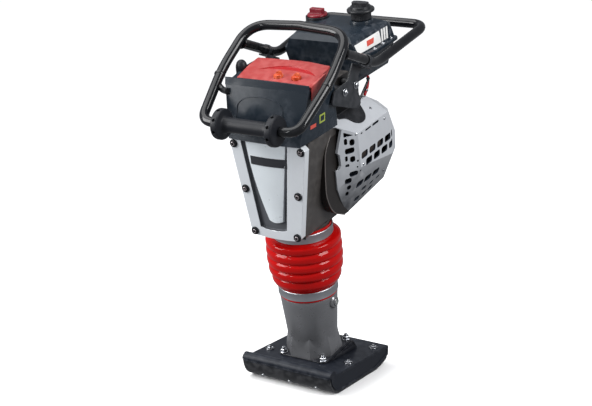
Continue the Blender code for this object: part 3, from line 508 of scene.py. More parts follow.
def merge(parts):
    whole = bmesh.new()
    for part in parts:
        mesh = bpy.data.meshes.new("part")
        part.to_mesh(mesh)
        part.free()
        whole.from_mesh(mesh)
        bpy.data.meshes.remove(mesh)
    return whole


def moved(bm, at):
    bm.transform(Matrix.Translation(at))
    return bm


def aimed(bm, direction):
    """Turn a mesh so that its own up looks along a direction."""
    bm.transform(Vector(direction).to_track_quat("Z", "Y").to_matrix().to_4x4())
    return bm


def flipped(bm):
    """The mirror image of a mesh, across x."""
    bm.transform(Matrix.Diagonal((-1.0, 1.0, 1.0, 1.0)))
    bmesh.ops.reverse_faces(bm, faces=bm.faces)
    return bm


def both_sides(build):
    """A mesh and its mirror image in one."""
    return merge([build(), flipped(build())])


# ------------------------------------------------------------------ pieces
def raw(name, bm, look, world_axes=False):
    """Make an object of a mesh, which is in the leg frame unless it says otherwise."""
    if not world_axes:
        bm.transform(LEG)
    bmesh.ops.recalc_face_normals(bm, faces=bm.faces)
    mesh = bpy.data.meshes.new(name)
    bm.to_mesh(mesh)
    bm.free()
    mesh.materials.append(LOOKS[look])
    obj = bpy.data.objects.new(name, mesh)
    bpy.context.scene.collection.objects.link(obj)
    return obj


def carve(obj, bm, operation="DIFFERENCE", look=None, world_axes=False):
    """Cut or add a mesh at once. Faces that the cutter leaves take its own look, if it has one."""
    other = raw("cutter", bm, look or "gasket", world_axes)
    other.data.materials.clear()
    other.data.materials.append(LOOKS[look] if look else obj.data.materials[0])
    step = obj.modifiers.new("carve", "BOOLEAN")
    step.operation = operation
    step.solver = "EXACT"
    step.material_mode = "TRANSFER"
    step.object = other
    bpy.context.view_layer.update()
    result = bpy.data.meshes.new_from_object(obj.evaluated_get(bpy.context.evaluated_depsgraph_get()))
    obj.modifiers.clear()
    bpy.data.objects.remove(other, do_unlink=True)
    bm = bmesh.new()
    bm.from_mesh(result)
    bmesh.ops.remove_doubles(bm, verts=bm.verts, dist=2e-5)
    bmesh.ops.dissolve_degenerate(bm, edges=bm.edges, dist=1e-5)
    bmesh.ops.dissolve_limit(bm, angle_limit=math.radians(0.4), verts=bm.verts, edges=bm.edges,
            delimit={"MATERIAL"})
    bm.to_mesh(result)
    bm.free()
    obj.data = result
    return obj


def dress(obj, body, stands_for=(), bevel=0.0008, steps=2, angle=32.0):
    """Round a piece's edges, smooth it, and let it ride on its body."""
    limit = math.radians(angle)
    if bevel:
        edge = obj.modifiers.new("edges", "BEVEL")
        edge.width = bevel
        edge.segments = steps
        edge.limit_method = "ANGLE"
        edge.angle_limit = limit
        edge.use_clamp_overlap = True
        obj.data.shade_smooth()
        obj.modifiers.new("shading", "WEIGHTED_NORMAL").keep_sharp = True
    else:
        obj.data.shade_smooth()
        obj.data.set_sharp_from_angle(angle=limit)
    if body:
        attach(obj, body)
    if stands_for:
        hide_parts(*([stands_for] if isinstance(stands_for, str) else stands_for))
    return obj


def piece(name, bm, look, body, stands_for=(), bevel=0.0008, steps=2, angle=32.0,
        world_axes=False):
    return dress(raw(name, bm, look, world_axes), body, stands_for, bevel, steps, angle)


def decal(name, target, corners, outwards, look, body, lift=0.0004, grid=(8, 4)):
    """A thin patch laid on a piece: corners run round it, and outwards points off the surface."""
    bpy.context.view_layer.update()
    tree = BVHTree.FromObject(target, bpy.context.evaluated_depsgraph_get())
    outwards = (LEG.to_3x3() @ Vector(outwards)).normalized()
    a, b, c, d = [LEG @ Vector(corner) for corner in corners]
    along, across = grid
    bm = bmesh.new()
    layers = []
    for height in (-0.0003, lift):
        rows = []
        for j in range(across + 1):
            t = j / across
            row = []
            for i in range(along + 1):
                s = i / along
                point = (a * (1 - s) + b * s) * (1 - t) + (d * (1 - s) + c * s) * t
                hit = tree.ray_cast(point + outwards * 0.05, -outwards, 0.12)[0]
                row.append(bm.verts.new((hit or point) + outwards * height))
            rows.append(row)
        layers.append(rows)
    for rows in layers:
        for j in range(across):
            for i in range(along):
                bm.faces.new((rows[j][i], rows[j][i + 1], rows[j + 1][i + 1], rows[j + 1][i]))
    low, high = layers
    rim = [(0, i) for i in range(along)] + [(j, along) for j in range(across)]
    rim += [(across, i) for i in range(along, 0, -1)] + [(j, 0) for j in range(across, 0, -1)]
    join(bm, [low[j][i] for j, i in rim], [high[j][i] for j, i in rim])
    return piece(name, bm, look, body, bevel=0.0, world_axes=True)


def hexagon(across_flats, low, high, along="w", chamfer=0.0008):
    radius = across_flats / math.sqrt(3)
    profile = [(0.0, low), (radius, low), (radius, high - chamfer), (radius - chamfer * 1.6, high),
            (0.0, high)]
    return turned(profile, 6, along)


def bolt_stack(along, base, sizes):
    """Washer, hexagon nut and rounded stud, stacked along an axis.

    The sizes are the washer's radius, the flats, the nut's height, and the stud's radius and height.
    """
    washer_r, flats, nut, stud_r, stud = sizes
    sign = 1 if nut > 0 else -1
    washer = spun([(washer_r, 0.0), (washer_r, sign * 0.0014), (washer_r - 0.0008, sign * 0.0021)], 32,
            along)
    radius = flats / math.sqrt(3)
    body = spun([(radius, sign * 0.002), (radius, nut - sign * 0.0012), (radius - 0.0016, nut)], 6, along)
    tip = spun([(stud_r, nut - sign * 0.001), (stud_r, stud - sign * 0.001), (stud_r - 0.001, stud)], 20,
            along)
    return [moved(part, base) for part in (washer, body, tip)]


# ------------------------------------------------------------------ shoe, in the frame's own axes
SOLE_FLAT = (-0.105, 0.08)
NOSE_R, NOSE_TURN = 0.063, math.radians(83)
TAIL_R, TAIL_TURN = 0.18, math.radians(25)
SOLE_THICKNESS = 0.007
BEAD_AT, BEAD_R = (-0.1515, 0.057), 0.0165
SHOE_TOP_FRONT, SHOE_TOP_REAR = 0.06, 0.0555
SHOE_PANEL = 0.14                 # how far across the sunk side panels start
RIVET_TURN = math.radians(38)


def sole_line(offset, steps=16):
    """The sole's curve from front to rear, offset inwards."""
    front, rear = [], []
    for i in range(steps + 1):
        turn = NOSE_TURN * (1 - i / steps)
        reach = NOSE_R - offset
        front.append((SOLE_FLAT[0] - reach * math.sin(turn), NOSE_R - reach * math.cos(turn)))
        turn = TAIL_TURN * i / steps
        reach = TAIL_R - offset
        rear.append((SOLE_FLAT[1] + reach * math.sin(turn), TAIL_R - reach * math.cos(turn)))
    return front + rear


def make_shoe():
    low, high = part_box("sole_plate")
    plate = sole_line(0.0) + sole_line(SOLE_THICKNESS)[::-1]
    piece("sole_wear_plate", side_prism(plate, low.x, high.x), "sole", "foot", "sole_plate",
            bevel=0.0012, world_axes=True)
    low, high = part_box("shoe_body")
    rear = high.y
    slope = (SHOE_TOP_REAR - SHOE_TOP_FRONT) / (rear - BEAD_AT[0])
    outline = sole_line(SOLE_THICKNESS + 0.0004)
    outline += [(rear, 0.027), (rear, SHOE_TOP_REAR - 0.006), (rear - 0.004, SHOE_TOP_REAR)]
    behind = BEAD_AT[0] + BEAD_R + 0.004
    outline.append((behind + 0.006, SHOE_TOP_FRONT + slope * (behind + 0.006 - BEAD_AT[0])))
    outline.append((behind, SHOE_TOP_FRONT - 0.0006))
    for degrees in range(14, 206, 8):
        turn = math.radians(degrees)
        outline.append((BEAD_AT[0] + BEAD_R * math.cos(turn), BEAD_AT[1] + BEAD_R * max(math.sin(turn),
                -0.02)))
    shoe = raw("shoe_pressing", side_prism(outline, low.x, high.x), "shoe", True)
    inset = [(-0.142, 0.02), (-0.105, 0.0125), (0.08, 0.0125), (0.15, 0.033), (0.15, 0.048),
            (-0.12, 0.0525), (-0.146, 0.048)]
    for side in (1, -1):
        outer = side * (SHOE_PANEL + 0.004)
        inner = side * (high.x - 0.0012)
        panel = side_prism(eased(inset, 0.006), min(inner, outer), max(inner, outer))
        carve(shoe, panel, look="shoe", world_axes=True)
    dress(shoe, "foot", "shoe_body", bevel=0.0016, steps=3, angle=28)
    seam = [(-0.1665, 0.0532), (-0.1665, 0.0552), (-0.1685, 0.0558), (-0.1689, 0.053)]
    piece("shoe_front_seam", side_prism(seam, low.x + 0.002, high.x - 0.002), "shoe", "foot",
            bevel=0.0005, world_axes=True)
    rivets = []
    for x in (-0.085, 0.0, 0.085):
        at = (x, SOLE_FLAT[0] - NOSE_R * math.sin(RIVET_TURN), NOSE_R * (1 - math.cos(RIVET_TURN)))
        head = turned([(0.0, -0.001), (0.0065, -0.001), (0.006, 0.0012), (0.0035, 0.0022), (0.0, 0.0024)],
                20)
        head.transform(Matrix.Rotation(math.pi - RIVET_TURN, 4, "X"))
        rivets.append(moved(head, at))
    piece("sole_rivets", merge(rivets), "steel", "foot", bevel=0.0, world_axes=True)
    for number in range(1, 5):
        low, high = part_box(f"shoe_bolt_{number}")
        at = ((low.x + high.x) / 2, (low.y + high.y) / 2, high.z - 0.009)
        cup = turned([(0.0095, -0.001), (0.0125, -0.001), (0.0125, 0.0014), (0.0115, 0.0022),
                (0.0102, 0.0014), (0.0095, 0.0004)], 40)
        stud = turned([(0.0, 0.0), (0.0042, 0.0), (0.0042, 0.008), (0.0034, 0.0088), (0.0, 0.009)], 20)
        parts = [moved(part, at) for part in (cup, hexagon(0.013, -0.001, 0.0055), stud)]
        piece(f"shoe_bolt_set_{number}", merge(parts), "zinc", "foot", f"shoe_bolt_{number}",
                bevel=0.0004, world_axes=True)


# ------------------------------------------------------------------ leg
def make_leg():
    half, front, rear, top, bottom = 0.075, -0.072, 0.081, 0.079, 0.071
    plan = eased([(-half, front), (half, front), (half, rear), (-half, rear)], [0.014, 0.014, 0.01, 0.01])
    flange = raw("foot_flange", plan_prism(plan, bottom, top - 0.0005), "flange")
    under = side_prism([(front - 0.01, 0.0783), (front - 0.01, 0.06), (-0.03, 0.06), (-0.044, bottom)],
            -0.1, 0.1)
    carve(flange, under)
    dress(flange, "foot", bevel=0.0014, steps=3)
    wedge = [(-0.036, 0.0692), (0.081, 0.07), (0.0985, 0.039), (0.0985, 0.0379)]
    block = raw("foot_wedge_block", side_prism(wedge, -0.078, 0.078), "flange")
    for side in (1, -1):
        groove = side_prism([(0.0, 0.0672), (0.079, 0.066), (0.0865, 0.052), (0.04, 0.059)],
                min(side * 0.0765, side * 0.08), max(side * 0.0765, side * 0.08))
        carve(block, groove)
    dress(block, "foot", "foot_wedge", bevel=0.0012, steps=3)

    cone = [(0.052, 0.0785), (0.07, 0.0785), (0.07, 0.094), (0.0692, 0.135), (0.0745, 0.195),
            (0.0782, 0.24), (0.0792, 0.25), (0.0782, 0.255), (0.0765, 0.2555), (0.0765, 0.3),
            (0.0615, 0.304), (0.0615, 0.455), (0.013, 0.455), (0.013, 0.43), (0.052, 0.43)]
    leg = raw("leg_casting", turned(cone, 96), "casting")
    base_plan = [(0.078, 0.0785), (0.078, 0.09), (0.069, 0.142), (0.06, 0.142), (0.06, 0.0785)]
    carve(leg, turned(base_plan, 8, phase=math.pi / 8), "UNION")
    boss = spun([(0.0185, 0.06), (0.018, 0.08), (0.015, 0.0835), (0.01, 0.084)], 40, "x")
    carve(leg, moved(boss, (0.0, 0.0, leg_middle("sight_glass").z)), "UNION")
    dress(leg, "foot", "spring_cylinder", bevel=0.0007, steps=2, angle=24)
    glass_low, glass_high = leg_box("sight_glass")
    at = (0.0, (glass_low.y + glass_high.y) / 2, (glass_low.z + glass_high.z) / 2)
    bezel = turned([(0.0065, 0.0832), (0.0105, 0.0832), (0.0105, 0.0862), (0.0095, 0.0875), (0.007, 0.0875),
            (0.0065, 0.0868)], 32, "x")
    piece("sight_glass_bezel", moved(bezel, at), "casting", "foot", bevel=0.0)
    lens = turned([(0.0, 0.0834), (0.0066, 0.0834), (0.0066, 0.0862), (0.004, 0.0871), (0.0, 0.0874)], 32,
            "x")
    piece("sight_glass_lens", moved(lens, at), "glass", "foot", "sight_glass", bevel=0.0)
    for number in range(1, 5):
        base = leg_seat(f"flange_nut_{number}")
        parts = bolt_stack("w", base, (0.0118, 0.0165, 0.01, 0.005, 0.016))
        piece(f"flange_nut_set_{number}", merge(parts), "zinc", "foot", f"flange_nut_{number}",
                bevel=0.0004)


def band_clamp(node, body, name, angle):
    """A worm-drive band clamp: the band with its rolled edges, and the screw housing at one side."""
    low, high = leg_box(node)
    outer = (high.x - low.x) / 2
    inner = outer - 0.0028
    middle = (low.z + high.z) / 2
    half = (high.z - low.z) / 2
    band = turned([(inner, -half), (outer - 0.001, -half), (outer, -half + 0.0012),
            (outer - 0.0005, -half + 0.003), (outer - 0.0005, half - 0.003), (outer, half - 0.0012),
            (outer - 0.001, half), (inner, half)], 96)
    piece(name, moved(band, (0, 0, middle)), "band", body, node, bevel=0.0)
    housing = plan_prism(eased([(-0.016, outer - 0.002), (0.016, outer - 0.002), (0.013, outer + 0.0085),
            (-0.013, outer + 0.0085)], 0.003), -0.008, 0.008)
    screw = spun([(0.0045, -0.021), (0.0045, 0.0)], 6, "x")
    collar = spun([(0.006, -0.0175), (0.006, -0.016)], 24, "x")
    unit = merge([housing, moved(screw, (0, outer + 0.0035, 0)), moved(collar, (0, outer + 0.0035, 0))])
    unit.transform(Matrix.Rotation(angle, 4, "Z"))
    piece(name + "_screw", moved(unit, (0, 0, middle)), "zinc", body, bevel=0.0005)


CUFF_R, BELLOWS_WALL, SHOULDER_CLEAR = 0.0795, 0.003, 0.0768


def make_bellows():
    low, high = leg_box("bellows")
    reach = (high.x - low.x) / 2
    cuff = CUFF_R
    first, pitch, count, valley = 0.313, 0.0265, 5, 0.0062
    bottom, top = first - pitch / 2, first + (count - 0.5) * pitch
    sizes = (reach - 0.0085, reach - 0.002, reach, reach, reach - 0.001)
    outer = [(cuff, low.z), (cuff, bottom - 0.0115), (cuff + 0.001, bottom - 0.01),
            (cuff + 0.0045, bottom - 0.007), (cuff + 0.011, bottom - 0.002)]
    steps = 16
    for bulge, size in enumerate(sizes):
        for i in range(steps):
            t = (i + 0.5) / steps
            dip = abs(2 * t - 1) ** 3.2
            fall = valley
            if bulge == 0 and t < 0.5:
                fall = size - cuff - 0.011
            if bulge == count - 1 and t > 0.5:
                fall = size - cuff - 0.005
                dip = abs(2 * t - 1) ** 4.0
            outer.append((size - fall * dip, bottom + (bulge + t) * pitch))
    outer += [(cuff + 0.0025, top + 0.0002), (cuff, top + 0.0006), (cuff, high.z)]
    inner = [(max(radius - BELLOWS_WALL, SHOULDER_CLEAR), height) for radius, height in reversed(outer)]
    sleeve = raw("bellows_sleeve", turned(outer + inner, 96), "rubber_red")
    dress(sleeve, None, "bellows", bevel=0.0, angle=50)
    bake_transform(sleeve)
    band_clamp("lower_clamp", "foot", "lower_band", math.radians(40))
    band_clamp("upper_clamp", "upper", "upper_band", math.radians(50))


SPRING_WIRE = 0.0055


def make_springs():
    for node, ends, bodies in (("lower_spring", (0.0712, 0.2548), ("foot", "piston")),
            ("upper_spring", (0.2752, 0.4298), ("piston", "foot"))):
        low, high = leg_box(node)
        mean = (high.x - low.x) / 2 - SPRING_WIRE
        bottom, top = low.z + SPRING_WIRE, high.z - SPRING_WIRE
        turns, steps = 5, 28
        path = []
        for i in range(turns * steps + 1):
            angle = 2 * math.pi * i / steps
            height = bottom + (top - bottom) * i / (turns * steps)
            path.append((mean * math.cos(angle), mean * math.sin(angle), height))
        coil = raw(node + "_coil", tube(path, SPRING_WIRE, 12), "steel")
        dress(coil, None, node, bevel=0.0)
        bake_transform(coil)


# ------------------------------------------------------------------ crankcase
CASE_BOTTOM, CASE_TOP = 0.468, 0.74
CASE_HALF = (0.075, 0.111)
CASE_WALL = 0.007
BELL_W = 0.605
BELL = ((-0.022, 0.088, 0.108), (0.012, 0.1025, 0.13), (0.04, 0.106, 0.134))
BELL_EDGE = ((0.0151, 0.7238), (-0.0214, 0.686), (-0.0302, 0.634), (-0.0351, 0.5695), (-0.0206, 0.5295),
        (-0.0002, 0.5035), (0.048, 0.479))
BELL_HALF = 0.1075
BELL_EASE = [0.004, 0.018, 0.024, 0.018, 0.015, 0.014]
CLUTCH_W = 0.6485


def case_half(w):
    return CASE_HALF[0] + (CASE_HALF[1] - CASE_HALF[0]) * (w - CASE_BOTTOM) / (CASE_TOP - CASE_BOTTOM)


def case_outline(inset, low, high):
    return [(-case_half(low) + inset, low), (case_half(low) - inset, low), (case_half(high) - inset, high),
            (-case_half(high) + inset, high)]


def bell(inset, low, high, steps=72, slices=8):
    """A loft of upright ovals that flares towards the engine."""
    (v0, x0, w0), (v1, x1, w1), (v2, x2, w2) = BELL
    bm = bmesh.new()
    rings = []
    for i in range(slices + 1):
        v = low + (high - low) * i / slices
        near = min(max((v - v0) / (v1 - v0), 0.0), 1.0)
        far = min(max((v - v1) / (v2 - v1), 0.0), 1.0)
        near = near * (2 - near)
        half_x = x0 + (x1 - x0) * near + (x2 - x1) * far - inset
        half_w = w0 + (w1 - w0) * near + (w2 - w1) * far - inset
        rings.append([bm.verts.new((half_x * math.cos(a), v,
                BELL_W + half_w * math.sin(a))) for a in circle(steps)])
    for one, other in zip(rings, rings[1:]):
        join(bm, one, other)
    bm.faces.new(rings[0])
    bm.faces.new(rings[-1])
    return bm


def make_crankcase():
    front, rear = -0.1015, 0.04
    outline = eased(case_outline(0.0, CASE_BOTTOM, CASE_TOP), [0.01, 0.01, 0.006, 0.006], 4)
    case = raw("crankcase_casting", front_prism(outline, front, rear), "case")
    tail = eased([(-0.02, CASE_BOTTOM), (0.088, CASE_BOTTOM), (0.07, 0.52), (0.03, 0.6)],
            [0, 0.012, 0.012, 0.02])
    carve(case, side_prism(tail, -0.0745, 0.0745), "UNION")
    bridge = [(0.036, CASE_TOP - 0.012), (0.0395, CASE_TOP - 0.012), (0.055, 0.776), (0.15, 0.776),
            (0.15, 0.846), (0.036, 0.846)]
    carve(case, side_prism(bridge, -0.0938, 0.0938), "UNION")
    carve(case, disc(0.0765, 0.424, CASE_BOTTOM + 0.004, 96), "UNION")
    carve(case, bell(0.0, BELL[0][0], BELL[-1][0]), "UNION")
    inner = case_outline(CASE_WALL, CASE_BOTTOM + CASE_WALL, CASE_TOP - CASE_WALL)
    carve(case, front_prism(inner, front - 0.02, rear - CASE_WALL))
    carve(case, bell(CASE_WALL, BELL[0][0] - 0.01, rear - CASE_WALL))
    carve(case, moved(ring(0.049, 0.055, rear - 0.004, 0.104, 48, "v"), (0, 0, CLUTCH_W)), "UNION")
    carve(case, disc(0.0702, 0.4, CASE_BOTTOM + 0.05, 96))
    carve(case, moved(disc(0.012, 0.0, 0.06, 32, "v"), (0, 0, CLUTCH_W)))
    dress(case, "upper", "crankcase", bevel=0.0016, steps=3, angle=30)

    wings = eased(list(BELL_EDGE) + [(0.07, 0.478), (0.07, 0.66), (0.039, 0.742), (0.025, 0.742)],
            BELL_EASE + [0, 0, 0, 0, 0])
    skirt = raw("crankcase_skirt", side_prism(wings, -BELL_HALF, BELL_HALF), "skirt")
    carve(skirt, front_prism([(-0.074, 0.44), (0.074, 0.44), (0.086, 0.54), (0.101, 0.7), (0.101, 0.76),
            (-0.101, 0.76), (-0.101, 0.7), (-0.086, 0.54)], -0.1, 0.1))
    dress(skirt, "upper", bevel=0.0016, steps=3, angle=30)

    def bell_lip():
        path = [(BELL_HALF - 0.0002, v, w) for v, w in BELL_EDGE]
        return tube(rounded(path, BELL_EASE + [0], 8), 0.0013, 12)

    # the lip's lighter colour is a painted highlight on the bell's rim
    piece("crankcase_lip", both_sides(bell_lip), "lip", "upper", bevel=0.0, angle=60)


def arc_line(start, end, sag, steps=12):
    """Points from one end to the other, bowed down in the middle."""
    points = []
    for i in range(steps + 1):
        t = i / steps
        height = start[1] + (end[1] - start[1]) * t - sag * 4 * t * (1 - t)
        points.append((start[0] + (end[0] - start[0]) * t, height))
    return points


def make_cover():
    low, high = leg_box("front_cover")
    face, seat = low.y, -0.1026
    half_top, half_bottom, edge = 0.113, 0.077, 0.01
    bottom = arc_line((-half_bottom + edge, CASE_BOTTOM + 0.003), (half_bottom - edge, CASE_BOTTOM + 0.003),
            0.0045)
    outline = bottom + [(half_bottom - 0.001, CASE_BOTTOM + edge + 0.002), (half_top, CASE_TOP - 0.012),
            (half_top - 0.012, CASE_TOP), (-half_top + 0.012, CASE_TOP), (-half_top, CASE_TOP - 0.012),
            (-half_bottom + 0.001, CASE_BOTTOM + edge + 0.002)]
    cover = raw("cover_casting", front_prism(outline, face, seat), "silver")
    window = arc_line((-0.0465, 0.4965), (0.0335, 0.4965), 0.0055)
    window += [(0.0625, CASE_TOP + 0.01), (-0.0815, CASE_TOP + 0.01)]
    # the recess takes a dark grey that is part paint and part painted shade
    carve(cover, front_prism(window, face - 0.01, face + 0.0085), look="recess")
    boss = moved(ring(0.0145, 0.026, -0.106, -0.08, 40, "v"), (0, 0, 0.572))
    carve(cover, boss, "UNION")
    dress(cover, "upper", "front_cover", bevel=0.0011, steps=3, angle=30)

    skirt_depth = face + 0.01
    crown = face - 0.0035
    bm = bmesh.new()
    columns, rows = 24, 20
    levels = []
    for j in range(rows + 1):
        t = j / rows
        left_edge = -0.017 - 0.0485 * t - 0.032 * t * (1 - t)
        right_edge = 0.0247 + 0.0313 * t
        line = []
        for i in range(columns + 1):
            s = 2 * i / columns - 1
            w = 0.52 + (CASE_TOP - 0.001 - 0.52) * t
            w -= 0.0042 * (1 - s * s) * (1 - t)
            v = face + 0.0005 + (crown - face - 0.0005) * (1 - s * s)
            line.append((left_edge + (right_edge - left_edge) * (s + 1) / 2, v, w))
        levels.append(line)
    grown = [point for line in levels for point in line]
    front_points = [bm.verts.new(point) for point in grown]
    rim = [j * (columns + 1) for j in range(rows, 0, -1)] + list(range(columns + 1))
    rim += [(j + 1) * (columns + 1) - 1 for j in range(1, rows + 1)]
    rim += [rows * (columns + 1) + i for i in range(columns - 1, 0, -1)]
    for j in range(rows):
        for i in range(columns):
            a = j * (columns + 1) + i
            bm.faces.new([front_points[k] for k in (a, a + 1, a + columns + 2, a + columns + 1)])
    skirt = []
    for k in rim:
        x, v, w = grown[k]
        skirt.append(bm.verts.new((x * 1.02, skirt_depth, w - (0.003 if w < 0.522 else 0.0))))
    join(bm, [front_points[k] for k in rim], skirt)
    bm.faces.new(skirt)
    panel = piece("cover_panel", bm, "panel", "upper", bevel=0.0009, steps=2, angle=45)
    left, right_end = -0.053, 0.0545
    corners = [(left, face, 0.6745), (right_end, face, 0.6745), (right_end, face, 0.698),
            (left, face, 0.698)]
    decal("badge_plate", panel, corners, (0, -1, 0), "badge", "upper", 0.0014, (32, 6))
    for side in ("left", "right"):
        for number in (1, 2, 3):
            low, high = leg_box(f"cover_screw_{side}_{number}")
            at = ((low.x + high.x) / 2, high.y, (low.z + high.z) / 2)
            pad = spun([(0.0108, 0.0006), (0.0112, -0.001), (0.0104, -0.0032), (0.0085, -0.0038),
                    (0.0074, -0.0024)], 40, "v")
            piece(f"cover_pad_{side}_{number}", moved(pad, at), "rubber", "upper", bevel=0.0)
            head = [(0.0, -0.002), (0.0058, -0.002), (0.0058, -0.0062), (0.005, -0.007), (0.0032, -0.007)]
            screw = raw(f"cover_screw_head_{side}_{number}", moved(turned(head + [(0.0, -0.007)], 36, "v"),
                    at), "bolt")
            socket = spun([(0.0031, -0.0035), (0.0031, -0.009)], 6, "v")
            carve(screw, moved(socket, at), look="rubber")
            dress(screw, "upper", f"cover_screw_{side}_{number}", bevel=0.0004)


# ------------------------------------------------------------------ engine
SHROUD_SIDE = ((0.15, 0.077, 0.705), (0.15, 0.241, 0.705), (0.15, 0.252, 0.58), (0.15, 0.079, 0.609))
SHROUD_RIM = ((0.108, 0.019, 0.743), (0.1, 0.062, 0.752), (0.1, 0.22, 0.752), (0.1, 0.278, 0.717),
        (0.11, 0.312, 0.684), (0.118, 0.332, 0.612), (0.11, 0.342, 0.557), (0.105, 0.272, 0.493),
        (0.105, 0.064, 0.477), (0.11, 0.031, 0.527), (0.112, 0.0155, 0.565), (0.112, 0.0145, 0.616))
SHROUD_NOTCH = ((-0.03, 0.7395), (0.028, 0.736), (0.041, 0.725), (0.024, 0.665), (0.029, 0.658),
        (0.029, 0.629), (0.023, 0.619), (-0.03, 0.619))
SHROUD_WALL = 0.003
CHAMFER_BASE, CHAMFER_ACROSS = (0.1259, 0.0451, 0.0), (0.5684, 0.8227, 0.0)    # plane of the front vents


def side_vents():
    """The right side's openings: rows on the flank and lower face, and a column on the front chamfer."""
    cuts = []
    for first, w, count in ((0.104, 0.637, 4), (0.1245, 0.6115, 4)):
        for i in range(count):
            cuts.append(pill(first + 0.0428 * i, w - 0.001 * i, 0.0168, 0.009, 0.007, 0.0015))
    cuts.append(pill(0.27, 0.631, 0.0085, 0.009, 0.0066, 0.0012))
    for v, half, thick in ((0.0965, 0.0045, 0.0018), (0.132, 0.015, 0.0024), (0.1725, 0.017, 0.0032)):
        cuts.append(pill(v, 0.6985, half, thick))
    for i in range(3):
        cuts.append(pill(0.096 + 0.04 * i, 0.553 + 0.0008 * i, 0.0165, 0.0082, 0.0066, 0.002))
        cuts.append(pill(0.128 + 0.039 * i, 0.526, 0.0105, 0.004, 0.0038, 0.0014))
        cuts.append(pill(0.1 + 0.038 * i, 0.5055, 0.012, 0.005, 0.0047, 0.002))
    flank = [side_prism(cut, 0.085, 0.17) for cut in cuts]
    column = [eased([(-0.001, 0.717), (-0.001, 0.7035), (0.0275, 0.7035)], 0.002),
            pill(0.0033, 0.6906, 0.0048, 0.0082), pill(0.0211, 0.6854, 0.0075, 0.0088),
            pill(0.0124, 0.664, 0.0142, 0.0077, 0.0072), pill(0.0009, 0.6441, 0.004, 0.0073),
            pill(0.0192, 0.6386, 0.008, 0.0082), pill(0.0342, 0.6298, 0.0026, 0.003),
            pill(0.0021, 0.6247, 0.0058, 0.0036, 0.002), pill(0.0319, 0.6129, 0.0024, 0.0024),
            pill(0.0194, 0.5971, 0.0134, 0.0069), pill(0.0415, 0.5982, 0.003, 0.0027),
            pill(0.0016, 0.5806, 0.0109, 0.0076, 0.007), pill(0.0044, 0.5595, 0.007, 0.0066),
            pill(-0.0014, 0.5417, 0.0054, 0.0062, 0.0046)]
    front = [slab(cut, CHAMFER_BASE, CHAMFER_ACROSS, (0, 0, 1), -0.02, 0.02) for cut in column]
    return merge(flank + front)


def make_shroud():
    shroud = raw("shroud_shell", hull(mirrored(SHROUD_SIDE + SHROUD_RIM)), "shroud")
    inner = []
    for x, v, w in SHROUD_SIDE + SHROUD_RIM:
        inner.append((x - 1.4 * SHROUD_WALL, v + 1.2 * SHROUD_WALL * (1 if v < 0.1 else -1.6),
                w - 1.3 * SHROUD_WALL * (1 if w > 0.62 else -1)))
    # the shroud's inside, lower opening and vents take the painted shade look
    carve(shroud, hull(mirrored(inner)), look="painted_shade_hollow")
    mouth = [(0.102, 0.7376), (0.108, 0.7), (0.1095, 0.62), (0.1075, 0.548), (0.098, 0.488)]
    mouth += [(-x, w) for x, w in reversed(mouth)]
    carve(shroud, side_prism(SHROUD_NOTCH, -0.2, 0.2), look="shroud")
    carve(shroud, front_prism(mouth, -0.02, 0.066), look="shroud")
    carve(shroud, box((-0.08, 0.08), (0.0, 0.094), (0.44, 0.56)), look="painted_shade_hollow")
    carve(shroud, side_vents(), look="painted_shade_hollow")
    carve(shroud, flipped(side_vents()), look="painted_shade_hollow")
    dress(shroud, "upper", "engine_shroud", bevel=0.0022, steps=3, angle=18)

    slope = Vector((0.05, 0.0, -0.047)).normalized()
    chamfer_top = Vector((0.1, 0.0, 0.752))
    outline = eased([(0.052, -0.004), (0.06, 0.01), (0.084, 0.018), (0.1, 0.042), (0.118, 0.052),
            (0.14, 0.052), (0.158, 0.04), (0.168, 0.016), (0.172, -0.004)],
            [0, 0.004, 0.008, 0.01, 0.01, 0.01, 0.01, 0.006, 0])

    def mount_skirt():
        return slab(outline, chamfer_top, (0, 1, 0), slope, -0.0035, 0.001)

    def mount_pad():
        pad = eased([(0.05, 0.056), (0.1035, 0.056), (0.1035, 0.17), (0.05, 0.17)], 0.01)
        return plan_prism(pad, 0.75, 0.758)

    piece("mount_skirts", both_sides(mount_skirt), "black", "upper", bevel=0.001)
    piece("mount_pads", both_sides(mount_pad), "black", "upper", bevel=0.0014)
    heads = []
    for x, v, w, out in ((0.1462, 0.0735, 0.705, (0.6, -0.6, 0.5)),
            (0.1245, 0.195, 0.729, (0.68, 0.0, 0.73)), (0.15, 0.221, 0.693, (1, 0, 0)),
            (0.15, 0.094, 0.612, (1, 0, 0)), (0.129, 0.235, 0.533, (0.93, 0.0, -0.37))):
        head = spun([(0.0042, -0.0015), (0.0042, 0.0006), (0.0032, 0.0016), (0.0014, 0.0019),
                (0.0014, 0.0008)], 20)
        heads.append(moved(aimed(head, out), (x, v, w)))
    mirrored_heads = [flipped(head.copy()) for head in heads]
    piece("shroud_screws", merge(heads + mirrored_heads), "zinc", "upper", bevel=0.0)


